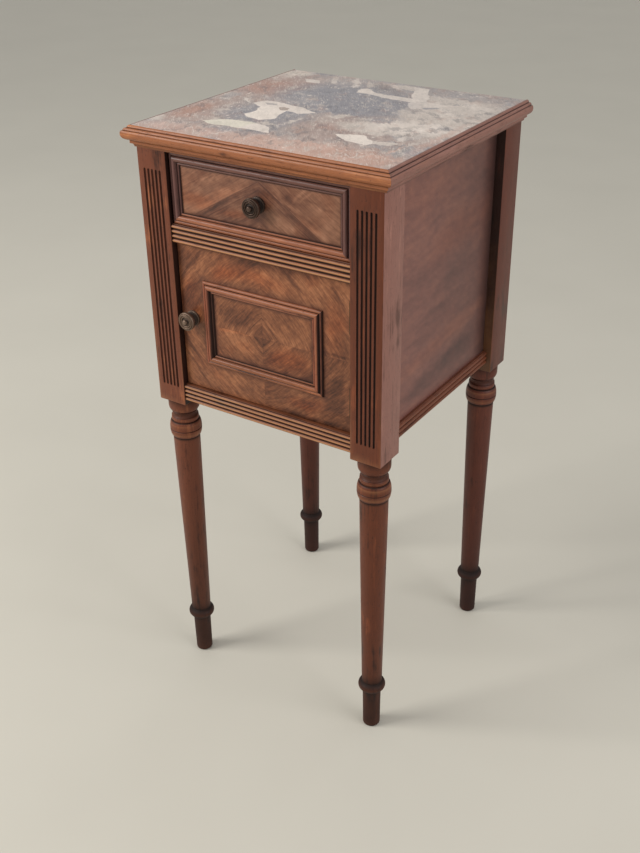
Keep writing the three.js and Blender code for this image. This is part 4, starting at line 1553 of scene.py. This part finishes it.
def bow(
    middle: Pair, reach: Pair, turn: Pair, steps: int, dirt_shade_and_sheen: Spot = (0.0, 0.0, 0.0)
) -> Outline:
    """Points along a part of an ellipse.

    Args:
        middle: The ellipse's middle in millimetres.
        reach: Its two half sizes.
        turn: First and last angle in degrees.
        steps: Number of steps.
        dirt_shade_and_sheen: Dirt, painted shade and painted highlight at the start, in the middle
            and at the end.

    Returns:
        The points with their dirt and shade values.
    """
    spots = []
    for i in range(steps + 1):
        share = i / steps
        angle = math.radians(turn[0] + (turn[1] - turn[0]) * share)
        near = dirt_shade_and_sheen[0] if share < 0.5 else dirt_shade_and_sheen[2]
        level = near + (dirt_shade_and_sheen[1] - near) * (1 - abs(2 * share - 1))
        x = middle[0] + reach[0] * math.cos(angle)
        y = middle[1] + reach[1] * math.sin(angle)
        spots.append((x, y, level))
    return spots


# ---------------------------------------------------------------- sub-assemblies


@dataclass
class Legs:
    """Four legs: a square post above, a turned and tapered leg below."""

    post_width: float = 45.0
    post_depth: float = 46.5
    foot_height: float = 458.0
    post_top: float = 813.0
    middle_x: float = 156.5
    front_y: float = -149.75
    back_y: float = 161.75
    arris: float = 0.9
    arris_steps: int = 3
    flute_count: int = 5
    flute_pitch: float = 6.1
    flute_width: float = 3.4
    flute_depth: float = 2.0
    flute_low: float = 484.0
    flute_high: float = 788.0
    flute_steps: int = 20
    # Flutes darken with depth by dirt and painted shade; arrises lighten by rubbed wear and a
    # painted highlight.
    flute_grime_and_shade: Pair = (0.62, 0.9)
    flute_lightest: float = 0.1
    flute_darkest: float = 0.85
    lathe_steps: int = 72
    flute_slack: float = 0.1
    arris_rubbed_highlight: float = -0.45
    arris_margin: float = 1.0
    edge_margin: float = 0.05
    foot_margin: float = 0.5
    smooth: float = 32.0
    catch_middle: Spot = (-134.0, -155.5, 551.0)
    catch_size: Spot = (3.0, 11.6, 30.6)
    finishes: tuple[tuple[str, Finish], ...] = (
        ("leg_front_left", WALNUT_LEFT),
        ("leg_front_right", WALNUT_RIGHT),
        ("leg_back_left", WALNUT_BACK),
        ("leg_back_right", WALNUT_BACK),
    )

    def outline(self) -> Outline:
        """The turned part, from the floor to just inside the post."""
        return [
            (0, 0, 0.7),
            (9.0, 0, 0.8),
            *bow((9.0, 3.4), (3.4, 3.4), (-70, 0), 6, (0.8, 0.7, 0.55)),
            (12.6, 24, 0.66),
            (13.0, 57, 0.66),
            (13.1, 65.5, 0.8),
            (13.6, 67.7, 1.0),
            *bow((13.1, 75.0), (6.4, 7.3), (-74, 74), 14, (1.0, 0.55, 1.0)),
            (14.4, 82.7, 1.0),
            (14.45, 86.0, 0.7),
            (14.7, 100.0, 0.35),
            (15.3, 140.0, 0.15),
            (16.1, 192.0, 0.05),
            (17.7, 292.0, 0.0),
            (18.9, 372.0, 0.0),
            (19.15, 392.0, 0.2),
            (19.2, 397.0, 1.0),
            *bow((19.2, 409.5), (3.5, 12.5), (-72, -14), 7, (0.7, -0.5, -0.25)),
            (22.7, 407.7, 0.1),
            (21.8, 408.6, 1.0),
            (22.7, 409.5, 0.1),
            *bow((19.2, 409.5), (3.5, 12.5), (8, 72), 8, (-0.15, -0.45, 0.7)),
            (19.0, 422.2, 0.9),
            *bow((18.4, 425.4), (0.9, 3.1), (-80, 80), 6, (0.6, -0.4, 0.5)),
            (18.0, 428.9, 0.6),
            *bow((20.6, 433.3), (-3.6, 4.4), (-62, 50), 8, (0.5, 0.55, 0.6)),
            (17.4, 438.0, 0.7),
            *bow((17.0, 447.0), (4.9, 9.0), (-78, 0), 9, (0.6, 0.2, 0.2)),
            (21.9, 452.0, 0.4),
            (21.9, 457.0, 0.6),
            (21.9, 460.0, 0.7),
            (0, 460.0, 0.7),
        ]

    def _post(self, name: str, x: float, y: float) -> bpy.types.Object:
        """A square post with softened arrises."""
        height = self.post_top - self.foot_height
        middle = (x, y, (self.foot_height + self.post_top) / 2)
        post = block(name, middle, (self.post_width, self.post_depth, height))
        top = self.post_top * MM - TOUCH
        eased(post, self.arris, lambda a, b: not (a.z > top and b.z > top), self.arris_steps)
        return post

    def _flute(self) -> bpy.types.Object:
        """A round-ended cutter for the flutes, at the middle of the cabinet's front."""
        radius = (self.flute_width**2 / 4 + self.flute_depth**2) / (2 * self.flute_depth)
        length = self.flute_high - self.flute_low
        outline = [
            *bow((0, radius), (radius, radius), (-90, 0), 6),
            *bow((0, length - radius), (radius, radius), (0, 90), 6),
        ]
        face = self.front_y - self.post_depth / 2
        foot = Vector((0, (face + self.flute_depth - radius) * MM, self.flute_low * MM))
        return turned("flute_cutter", outline, foot, UP, RIGHT, self.flute_steps)

    def build(self) -> None:
        """Makes the four legs."""
        cutter = self._flute()
        outline = self.outline()
        above = self.foot_height * MM
        for end, y in (("front", self.front_y), ("back", self.back_y)):
            for side, sign in SIDES:
                x = sign * self.middle_x
                node = f"leg_{end}_{side}"
                leg = self._post(f"{node}_worked", x, y)
                foot = Vector((x * MM, y * MM, 0))
                turning = turned("turning", outline, foot, UP, RIGHT, self.lathe_steps)
                worked(leg, turning, Union.JOIN)
                if end == "front":
                    self._flute_leg(leg, cutter, x)
                    if side == "left":
                        recess = block("catch_recess", self.catch_middle, self.catch_size)
                        worked(leg, recess, Union.CUT)
                cleaned(leg)
                self._soil_and_shade(leg, outline, x, y)
                dressed(leg, dict(self.finishes)[node], self.smooth)
                # Painted shade on inner faces and on the back posts' fronts; the front posts' outer
                # sides get the faded copy with painted side light.
                faced(leg, WALNUT_PAINTED_SHADE, RIGHT * -sign, above)
                if end == "back":
                    faced(leg, WALNUT_PAINTED_SHADE, FRONT, above)
                else:
                    faced(leg, WALNUT_FADED_AND_SIDE_LIT, RIGHT * sign, above)
                fitted(leg, "carcase", node)
        bpy.data.objects.remove(cutter)

    def _flute_leg(self, leg: bpy.types.Object, cutter: bpy.types.Object, x: float) -> None:
        """Cuts the flutes into a front post."""
        for i in range(self.flute_count):
            shift = x + (i - (self.flute_count - 1) / 2) * self.flute_pitch
            tool = copied(cutter, "flute_tool", Vector((shift * MM, 0, 0)))
            worked(leg, tool, Union.CUT)

    def _soil_and_shade(self, leg: bpy.types.Object, outline: Outline, x: float, y: float) -> None:
        """Darkens quirks and flutes with dirt and painted shade.

        Arrises get rubbed wear and a painted highlight.
        """
        face = y - self.post_depth / 2
        values = []
        for vertex in leg.data.vertices:
            px, py, pz = (c / MM for c in vertex.co)
            inward = self.post_width / 2 - abs(px - x)
            sunk = py - face
            if pz < self.foot_height - self.foot_margin:
                values.append(dirt_and_shade_at(outline, math.hypot(px - x, py - y), pz))
            elif sunk < self.flute_depth + self.flute_slack and inward > self.arris_margin:
                grime_and_shade = sunk / self.flute_depth * self.flute_grime_and_shade[x > 0]
                values.append(min(self.flute_darkest, self.flute_lightest + grime_and_shade))
            else:
                on_arris = inward > self.edge_margin and pz < self.post_top - self.arris_margin
                values.append(self.arris_rubbed_highlight if on_arris else 0.0)
        soiled_and_shaded(leg, values)


@dataclass
class Rails:
    """Reeded rails below the drawer, below the door and below the side panels."""

    reed_depth: float = 2.2
    reed_gap: float = 1.7
    reed_steps: int = 10
    reed_foot: float = 0.4
    smooth: float = 50.0
    front_height: float = 25.0
    front_thickness: float = 20.0
    front_reeds: int = 4
    front_wear_and_shade: float = 1.0
    front_crest: float = -171.5
    front_half: float = 134.0
    front_levels: tuple[tuple[str, float], ...] = (("bottom_rail", 465.0), ("middle_rail", 695.0))
    side_height: float = 20.0
    side_thickness: float = 16.0
    side_reeds: int = 3
    side_wear_and_shade: float = 0.28
    side_crest: float = 172.0
    side_level: float = 470.0
    side_from: float = -126.5
    side_to: float = 138.5

    def outline(self, thickness: float, height: float, reeds: int, wear: float) -> Outline:
        """A rail's section as distance behind the crests, height and dirt and shade value."""
        pitch = height / reeds
        half = (pitch - self.reed_gap) / 2
        spots: Outline = [
            (self.reed_depth + self.reed_foot, height, 0.35),
            (thickness, height, 0.0),
            (thickness, 0.0, 0.0),
            (self.reed_depth + self.reed_foot, 0.0, 0.4),
        ]
        for i in range(reeds):
            middle = (self.reed_depth, (i + 0.5) * pitch)
            # wear darkens the grooves with dirt and painted shade and lightens the crests with
            # rubbed wear and a painted highlight.
            spots += bow(
                middle, (-self.reed_depth, half), (-90, 90), self.reed_steps, (wear, -wear, wear)
            )
        return spots

    def build(self) -> None:
        """Makes the four rails."""
        section = self.outline(
            self.front_thickness, self.front_height, self.front_reeds, self.front_wear_and_shade
        )
        run = RIGHT * (2 * self.front_half * MM)
        for node, level in self.front_levels:
            lay = Lay((-self.front_half, self.front_crest, level), (0, 1, 0), (0, 0, 1))
            self._rail(node, section, lay, run, WALNUT_RAIL)
        section = self.outline(
            self.side_thickness, self.side_height, self.side_reeds, self.side_wear_and_shade
        )
        run = BACK * ((self.side_to - self.side_from) * MM)
        for side, sign in SIDES:
            zero = (sign * self.side_crest, self.side_from, self.side_level)
            lay = Lay(zero, (-sign, 0, 0), (0, 0, 1))
            self._rail(f"side_rail_{side}", section, lay, run, WALNUT_DEEP)

    def _rail(self, node: str, section: Outline, lay: Lay, run: Vector, finish: Finish) -> None:
        """Makes one rail.

        Args:
            node: The node that the rail stands for.
            section: The rail's section.
            lay: Where the section lies.
            run: The rail's way and length, in metres.
            finish: The rail's finish.
        """
        rail = lay.bar(f"{node}_reeded", section, run)
        lay.soil_and_shade(rail, section)
        dressed(rail, finish, self.smooth)
        fitted(rail, "carcase", node)


@dataclass
class Top:
    """Marble slab held by a mitred moulding on three sides."""

    inner_x: float = 184.0
    inner_y: float = -175.2
    back_y: float = 185.0
    low: float = 813.0
    ledge: float = 16.4
    board: float = 7.0
    height: float = 27.0
    slope_reach: float = 7.8
    slope_drop: float = 6.2
    bead_rise: float = 0.85
    bead_steps: int = 10
    quirk: float = 1.0
    nose: float = 9.7
    nose_drop: float = 9.6
    nose_land: float = 1.2
    ovolo_height: float = 7.6
    ovolo_reach: float = 7.9
    fillet_quirk: float = 0.9
    cove_reach: float = 3.9
    cove_rise: float = 4.4
    saw: float = 0.1
    slab_easing: float = 0.5
    slab_steps: int = 4
    smooth: float = 40.0

    def outline(self) -> Outline:
        """The moulding's section as reach outwards, height and dirt and shade value."""
        nose_top = self.height - self.nose_drop
        ovolo_top = nose_top - self.nose_land
        ovolo_foot = ovolo_top - self.ovolo_height
        step = self.nose - self.ovolo_reach
        quirk = self.fillet_quirk
        spots: Outline = [(-self.ledge, 0.0, 0.0)]
        spots += bow((step, 0), (-self.cove_reach, self.cove_rise), (0, 90), 8, (0.5, 0.3, 0.1))
        spots += [(step, ovolo_foot - quirk, 0.2), (step - quirk, ovolo_foot - quirk / 2, 0.9)]
        ovolo = (self.ovolo_reach, self.ovolo_height)
        spots += bow((step, ovolo_top), ovolo, (-88, 0), 14, (0.4, -0.1, -0.2))
        rounding = (self.nose - self.slope_reach, self.nose_drop - self.slope_drop)
        spots += bow((self.slope_reach, nose_top), rounding, (8, 88), 7, (-0.2, -0.4, -0.2))
        spots += self._beads((self.slope_reach, self.height - self.slope_drop), (0.0, self.height))
        spots += [(0.0, self.height, 0.1), (0.0, self.board, 0.0), (-self.ledge, self.board, 0.0)]
        return spots

    def _beads(self, start: Pair, end: Pair) -> Outline:
        """Two round beads up the slope, each over a narrow quirk."""
        length = math.dist(start, end)
        along = ((end[0] - start[0]) / length, (end[1] - start[1]) / length)
        outward = (along[1], -along[0])
        bead = length / 2 - self.quirk
        spots: Outline = []

        def spot(distance: float, rise: float, dirt_shade_and_sheen: float) -> Spot:
            """A point up the slope and out of it."""
            return (
                start[0] + along[0] * distance + outward[0] * rise,
                start[1] + along[1] * distance + outward[1] * rise,
                dirt_shade_and_sheen,
            )

        for i in range(2):
            base = i * length / 2
            spots.append(spot(base + self.quirk / 2, -self.bead_rise, 0.9))
            for j in range(self.bead_steps):
                distance = base + self.quirk + bead * j / self.bead_steps
                swell = math.sin(math.pi * j / self.bead_steps)
                spots.append(spot(distance, self.bead_rise * swell, 0.4 - 0.8 * swell))
        return spots

    def build(self) -> None:
        """Makes the three mouldings and the slab."""
        section = self.outline()
        ends = self.inner_x + self.nose + OVERRUN
        lay = Lay((-ends, self.inner_y, self.low), (0, -1, 0), (0, 0, 1))
        front = lay.bar("top_moulding_front_run", section, RIGHT * (2 * ends * MM))
        for _, sign in SIDES:
            at = Vector((sign * (self.inner_x - self.saw), self.inner_y, self.low)) * MM
            sawn(front, at, Vector((sign, 1, 0)))
        lay.soil_and_shade(front, section)
        dressed(front, TOP_FRONT, self.smooth)
        fitted(front, "carcase", "top_moulding_front")
        run = FRONT * ((self.back_y - self.inner_y + self.nose + OVERRUN) * MM)
        for side, sign in SIDES:
            lay = Lay((sign * self.inner_x, self.back_y, self.low), (sign, 0, 0), (0, 0, 1))
            bar = lay.bar(f"top_moulding_{side}_run", section, run)
            at = Vector((sign * self.inner_x, self.inner_y + self.saw, self.low)) * MM
            sawn(bar, at, Vector((-sign, -1, 0)))
            lay.soil_and_shade(bar, section)
            dressed(bar, TOP_SIDE, self.smooth)
            fitted(bar, "carcase", f"top_moulding_{side}")
        slab = from_board("marble_top", "marble_slab")
        eased(slab, self.slab_easing, outer_edges(slab), self.slab_steps)
        dressed(slab, BRECCIA, self.smooth)
        fitted(slab, "carcase", "marble_top")


@dataclass
class PanelFrame:
    """Mitred moulding planted on a front as a rectangle."""

    prefix: str
    body: str
    middle_x: float
    middle_z: float
    half_width: float
    half_height: float
    face_y: float
    width: float = 15.5
    rise: float = 5.5
    saw: float = 0.1
    finishes: Mapping[str, Finish] = field(default_factory=lambda: DOOR_FRAME)
    smooth: float = 40.0
    # Painted shade on the uprights' flanks that look right, away from the light, and a touch of
    # painted light on the right bar's inner flank.
    flank_shade: float = 0.75
    right_outer_extra_shade: float = 0.15
    left_inner_from: float = 0.46
    left_outer_shade: float = 0.28
    right_outer_to: float = 0.42
    right_inner_shade: float = -0.05

    def outline(self) -> Outline:
        """The section from the outer edge inwards, with height above the face."""
        w, r = self.width, self.rise
        return [
            (0.0, 0.0, 0.9),
            (0.0, 0.22 * r, 0.4),
            *bow((0.145 * w, 0.28 * r), (-0.13 * w, 0.30 * r), (10, 160), 11, (0.2, -0.40, 0.5)),
            (0.285 * w, 0.32 * r, 1.0),
            (0.310 * w, 0.58 * r, 0.6),
            *bow((0.52 * w, 0.54 * r), (-0.205 * w, 0.46 * r), (14, 150), 14, (0.15, -0.35, 0.1)),
            (0.745 * w, 0.50 * r, 0.5),
            (0.775 * w, 0.27 * r, 1.0),
            *bow((0.87 * w, 0.27 * r), (-0.08 * w, 0.13 * r), (15, 165), 7, (0.5, -0.1, 0.5)),
            (0.962 * w, 0.20 * r, 0.9),
            (0.995 * w, 0.17 * r, 0.9),
            (w, 0.0, 1.0),
        ]

    def _flank_shade(self, side: str, u: float) -> float:
        """Painted shade on the upright bars, most on the flanks that look right, away from the
        light.
        """
        share = u / self.width
        if side == "left":
            return self.flank_shade if share > self.left_inner_from else self.left_outer_shade
        if side == "right":
            outer = share < self.right_outer_to
            return self.flank_shade + self.right_outer_extra_shade if outer else self.right_inner_shade
        return 0.0

    def _bar(self, side: str, across: Vector, along: Vector, reach: float, half: float) -> None:
        """Makes one bar of the frame with both its mitres.

        Args:
            side: The bar's side of the frame.
            across: The way from the outer edge to the middle.
            along: The way the bar runs.
            reach: Distance of the outer edge from the middle, in millimetres.
            half: Half the bar's outer length.
        """
        node = f"{self.prefix}_{side}"
        # The section's dirt and shade value, plus painted shade on the uprights' flanks.
        section = [(u, v, dirt_shade_and_sheen + self._flank_shade(side, u)) for u, v, dirt_shade_and_sheen in self.outline()]
        edge = Vector((self.middle_x, self.face_y, self.middle_z)) - across * reach
        lay = Lay(tuple(edge - along * (half + OVERRUN)), tuple(across), tuple(FRONT))
        bar = lay.bar(f"{node}_run", section, along * (2 * (half + OVERRUN) * MM))
        for _, sign in SIDES:
            at = (edge + along * (sign * (half - self.saw))) * MM
            sawn(bar, at, along * sign + across)
        lay.soil_and_shade(bar, section)
        dressed(bar, self.finishes[side], self.smooth)
        fitted(bar, self.body, node)

    def build(self) -> None:
        """Makes the four bars."""
        self._bar("bottom", UP, RIGHT, self.half_height, self.half_width)
        self._bar("top", -UP, RIGHT, self.half_height, self.half_width)
        self._bar("left", RIGHT, UP, self.half_width, self.half_height)
        self._bar("right", -RIGHT, UP, self.half_width, self.half_height)


@dataclass
class Knob:
    """Turned metal knob with a ringed face, its shank and the nut behind."""

    node: str
    body: str
    slot: str
    finish: OldMetal
    x: float
    z: float
    face_y: float
    length: float = 20.5
    radius: float = 12.6
    flange: float = 10.6
    boss: float = 3.6
    shank: float = 2.5
    panel: float = 18.0
    nut_thickness: float = 4.0
    nut_radius: float = 5.7
    tail: float = 2.0
    steps: int = 64
    bore_room: float = 0.08
    smooth: float = 40.0
    nut_smooth: float = 30.0

    def outline(self) -> Outline:
        """The knob's section as radius, distance from the panel and dirt."""
        n = self.length
        r = self.radius
        back = -self.panel - self.nut_thickness - self.tail
        return [
            (0, back, 0.3),
            (self.shank - 0.4, back, 0.3),
            (self.shank, back + 0.4, 0.3),
            (self.shank, 0, 0.3),
            (self.flange - 0.4, 0.0, 1.0),
            (self.flange, 0.5, 0.9),
            *bow((self.flange - 1.2, 1.6), (1.2, 1.1), (-60, 80), 5, (0.7, 0.1, 0.4)),
            (self.flange - 1.6, 2.75, 0.9),
            (8.2, 3.1, 0.9),
            *bow((8.0, 6.7), (-2.6, 3.3), (70, -70), 12, (0.9, 1.0, 1.0)),
            (7.2, 10.1, 0.9),
            *bow((7.6, 14.0), (5.0, 4.2), (-88, 6), 12, (0.8, 0.2, -0.3)),
            (r, 15.0, -0.6),
            *bow((r - 1.1, 15.4), (1.1, 1.5), (0, 80), 5, (-0.7, -0.5, -0.2)),
            (r - 1.9, 16.6, 0.5),
            *bow((r - 3.0, 17.0), (0.95, 0.75), (0, 170), 7, (0.2, -0.2, 0.2)),
            (r - 4.2, 16.5, 0.6),
            *bow((r - 5.4, 16.8), (0.95, 0.65), (0, 170), 7, (0.2, -0.2, 0.2)),
            (r - 6.6, 16.2, 0.6),
            (r - 8.2, 16.3, 0.5),
            (self.boss, 16.6, 0.7),
            (self.boss, 18.4, 0.2),
            *bow((self.boss - 1.6, 18.6), (1.6, n - 18.6), (10, 80), 5, (0.2, -0.2, -0.4)),
            (0, n, -0.5),
        ]

    def nut(self) -> Outline:
        """The nut's section as radius, distance behind the panel and dirt."""
        bore = self.shank + self.bore_room
        r = self.nut_radius
        t = self.nut_thickness
        return [
            (bore, 0.0, 0.2),
            (r - 0.5, 0.0, 0.2),
            (r, 0.5, -0.3),
            (r, t - 0.7, -0.3),
            (r - 0.9, t, -0.2),
            (bore, t, 0.6),
            (bore, 0.0, 0.2),
        ]

    def _turned(
        self, name: str, outline: Outline, foot: Vector, out: Vector, steps: int
    ) -> bpy.types.Object:
        """Turns and soils a piece that stands out level.

        Args:
            name: The new piece's name.
            outline: The section.
            foot: Where the section's height is zero, in metres.
            out: The way the height grows.
            steps: Facets round the piece.

        Returns:
            The new piece.
        """
        piece = turned(name, outline, foot, out, RIGHT, steps)
        values = []
        for vertex in piece.data.vertices:
            x, y, z = (vertex.co - foot) / MM
            values.append(dirt_and_shade_at(outline, math.hypot(x, z), y * out.y))
        soiled_and_shaded(piece, values)
        return piece

    def build(self) -> None:
        """Makes the knob and its nut."""
        foot = Vector((self.x, self.face_y, self.z)) * MM
        knob = self._turned(f"{self.node}_turned", self.outline(), foot, FRONT, self.steps)
        dressed(knob, self.finish, self.smooth)
        fitted(knob, self.body, self.node)
        behind = foot + BACK * (self.panel * MM)
        nut = self._turned(f"{self.node}_nut_hex", self.nut(), behind, BACK, 6)
        dressed(nut, DULL_BRASS, self.nut_smooth)
        fitted(nut, self.body, f"{self.node}_nut")


@dataclass
class Front:
    """What the drawer and the door share: a veneered board at the cabinet's front."""

    face_y: float = -164.5
    easing: float = 0.8
    easing_steps: int = 3
    smooth: float = 30.0

    def board(self, node: str, body: str, back: Finish, veneer: Finish) -> None:
        """Makes the board.

        Args:
            node: The node that it stands for.
            body: The body that it rides.
            back: Finish of its back and edges.
            veneer: Finish of its face.
        """
        piece = from_board(node, f"{node}_veneered")
        eased(piece, self.easing, outer_edges(piece), self.easing_steps)
        dressed(piece, back, self.smooth)
        faced(piece, veneer, FRONT)
        fitted(piece, body, node)


@dataclass
class Drawer(Front):
    """Drawer with a veneered, framed front and a dovetailed box."""

    middle_z: float = 766.05
    half_width: float = 133.0
    half_height: float = 45.75
    # The drawer frame's flank shade is slightly negative: a little painted light on the left inner
    # flanks.
    flank_shade: float = -0.12

    def build(self) -> None:
        """Makes the front with what it carries and dresses the box."""
        self.board("drawer_front", "drawer", PLANED_WIDE, DRAWER_VENEER)
        PanelFrame(
            "drawer_moulding",
            "drawer",
            0.0,
            self.middle_z,
            self.half_width,
            self.half_height,
            self.face_y,
            finishes=DRAWER_FRAME,
            flank_shade=self.flank_shade,
        ).build()
        Knob(
            "drawer_knob", "drawer", "drawer_bronze", DARK_BRONZE, 0.0, self.middle_z, self.face_y
        ).build()
        repaint(PLANED_DEEP, "drawer_side_left", "drawer_side_right")
        repaint(PLANED_WIDE, "drawer_back", "drawer_bottom")


@dataclass
class Door(Front):
    """Door with a quarter-matched face, a planted frame and a knob."""

    frame_middle_x: float = -1.625
    frame_middle_z: float = 590.5
    frame_half_width: float = 92.125
    frame_half_height: float = 59.0
    knob_x: float = -114.2
    knob_z: float = 592.5

    def build(self) -> None:
        """Makes the door with what it carries."""
        self.board("door_panel", "door", STAINED_BACK, DOOR_VENEER)
        PanelFrame(
            "door_moulding",
            "door",
            self.frame_middle_x,
            self.frame_middle_z,
            self.frame_half_width,
            self.frame_half_height,
            self.face_y,
        ).build()
        Knob(
            "door_knob", "door", "door_bronze", GREY_BRONZE, self.knob_x, self.knob_z, self.face_y
        ).build()


@dataclass
class Carcase:
    """Boards, panels and fittings that keep the frame's shapes."""

    across: tuple[str, ...] = ("partition_board", "cupboard_floor", "top_board")
    upright: tuple[str, ...] = ("back_panel", "door_stop")
    hinges: tuple[str, ...] = ("hinge_lower", "hinge_upper")
    hinge_parts: tuple[str, ...] = ("post_leaf", "door_leaf", "pin")

    def build(self) -> None:
        """Dresses every board that stays."""
        repaint(PLANED_WIDE, *self.across)
        repaint(PLANED_UP, *self.upright)
        repaint(WALNUT_WIDE, "back_top_rail", "back_bottom_rail")
        for side, _ in SIDES:
            repaint(SIDE_VENEER, f"side_panel_{side}")
            repaint(PLANED_DEEP, f"drawer_guide_{side}")
            repaint(PLANED_WIDE, f"drawer_stop_{side}")
        repaint(DULL_BRASS, "catch_plate", "catch_barrel")
        for hinge in self.hinges:
            repaint(HINGE_BRASS, *(f"{hinge}_{part}" for part in self.hinge_parts))


# ---------------------------------------------------------------- studio


@dataclass(frozen=True)
class Lamp:
    """A square soft lamp: its place and size in metres, its power and its colour."""

    name: str
    place: Spot
    size: float
    watts: float
    colour: Spot

    def build(self, target: Spot) -> None:
        """Hangs the lamp so that it looks at a point."""
        data = bpy.data.lights.new(self.name, "AREA")
        data.shape = "SQUARE"
        data.size = self.size
        data.energy = self.watts
        data.color = self.colour
        lamp = bpy.data.objects.new(self.name, data)
        bpy.context.scene.collection.objects.link(lamp)
        lamp.location = self.place
        away = Vector(self.place) - Vector(target)
        lamp.rotation_euler = away.to_track_quat("Z", "Y").to_euler()


@dataclass
class Studio:
    """Pale floor, soft lamps, and the camera where the photographer stood."""

    eye: Spot = (0.7706, -1.1916, 1.1941)
    azimuth: float = 33.7753
    elevation: float = 29.796
    roll: float = -0.9333
    lens: float = 46.85
    sensor: float = 36.0
    floor_size: float = 14.0
    sky: float = 0.62
    sky_light_tone: Colour = tone(243, 242, 240)
    sky_seen_tone: Colour = tone(222, 222, 220)
    target: Spot = (0.0, 0.0, 0.5)
    lamps: tuple[Lamp, ...] = (
        Lamp("key", (-2.2, -2.1, 2.2), 1.5, 86.0, (1.0, 0.98, 0.95)),
        Lamp("fill", (2.7, -0.2, 1.6), 1.8, 30.0, (0.98, 0.97, 1.0)),
    )

    def camera(self) -> None:
        """Sets the camera."""
        az, el, roll = (math.radians(a) for a in (self.azimuth, self.elevation, self.roll))
        right = Vector((math.cos(az), math.sin(az), 0))
        back = Vector((math.sin(az) * math.cos(el), -math.cos(az) * math.cos(el), math.sin(el)))
        up = back.cross(right)
        tilted_right = right * math.cos(roll) + up * math.sin(roll)
        tilted_up = up * math.cos(roll) - right * math.sin(roll)
        data = bpy.data.cameras.new("eye")
        data.lens = self.lens
        data.sensor_width = self.sensor
        data.sensor_fit = "AUTO"
        camera = bpy.data.objects.new("eye", data)
        bpy.context.scene.collection.objects.link(camera)
        turn = Matrix((tilted_right, tilted_up, back)).transposed().to_4x4()
        camera.matrix_world = Matrix.Translation(self.eye) @ turn
        bpy.context.scene.camera = camera

    def sky_light(self) -> None:
        """A plain world: soft light for the object, pale for the camera."""
        world = bpy.data.worlds.new("room")
        world.use_nodes = True
        bpy.context.scene.world = world
        sheet = Sheet(world.node_tree)

        def glow(colour: Colour, strength: float) -> Signal:
            """Light of one colour from all round."""
            inputs = {"Color": colour, "Strength": strength}
            return sheet.node("ShaderNodeBackground", None, inputs)[0]

        seen = sheet.node("ShaderNodeLightPath")["Is Camera Ray"]
        light = glow(self.sky_light_tone, self.sky)
        shown = glow(self.sky_seen_tone, 1.0)
        both = sheet.node("ShaderNodeMixShader", None, {0: seen, 1: light, 2: shown})[0]
        sheet.node("ShaderNodeOutputWorld", None, {"Surface": both})

    def floor(self) -> None:
        """A pale floor that isn't part of the object."""
        bpy.ops.object.select_all(action="DESELECT")
        bpy.ops.mesh.primitive_plane_add(size=self.floor_size)
        floor = bpy.context.object
        floor.name = "studio_floor"
        floor.data.materials.append(PAINTS[PaleFloor("pale_floor")])

    def build(self) -> None:
        """Sets up everything round the object."""
        bpy.context.scene.view_settings.view_transform = "Standard"
        self.camera()
        self.sky_light()
        self.floor()
        for lamp in self.lamps:
            lamp.build(self.target)
        log.info("studio is set")


def main() -> None:
    """Builds the cabinet's looks in order."""
    logging.basicConfig(level=logging.INFO, format="%(name)s: %(message)s")
    Studio().build()
    Legs().build()
    Rails().build()
    Top().build()
    Drawer().build()
    Door().build()
    Carcase().build()
    bpy.ops.object.select_all(action="DESELECT")


if __name__ == "__main__":
    main()
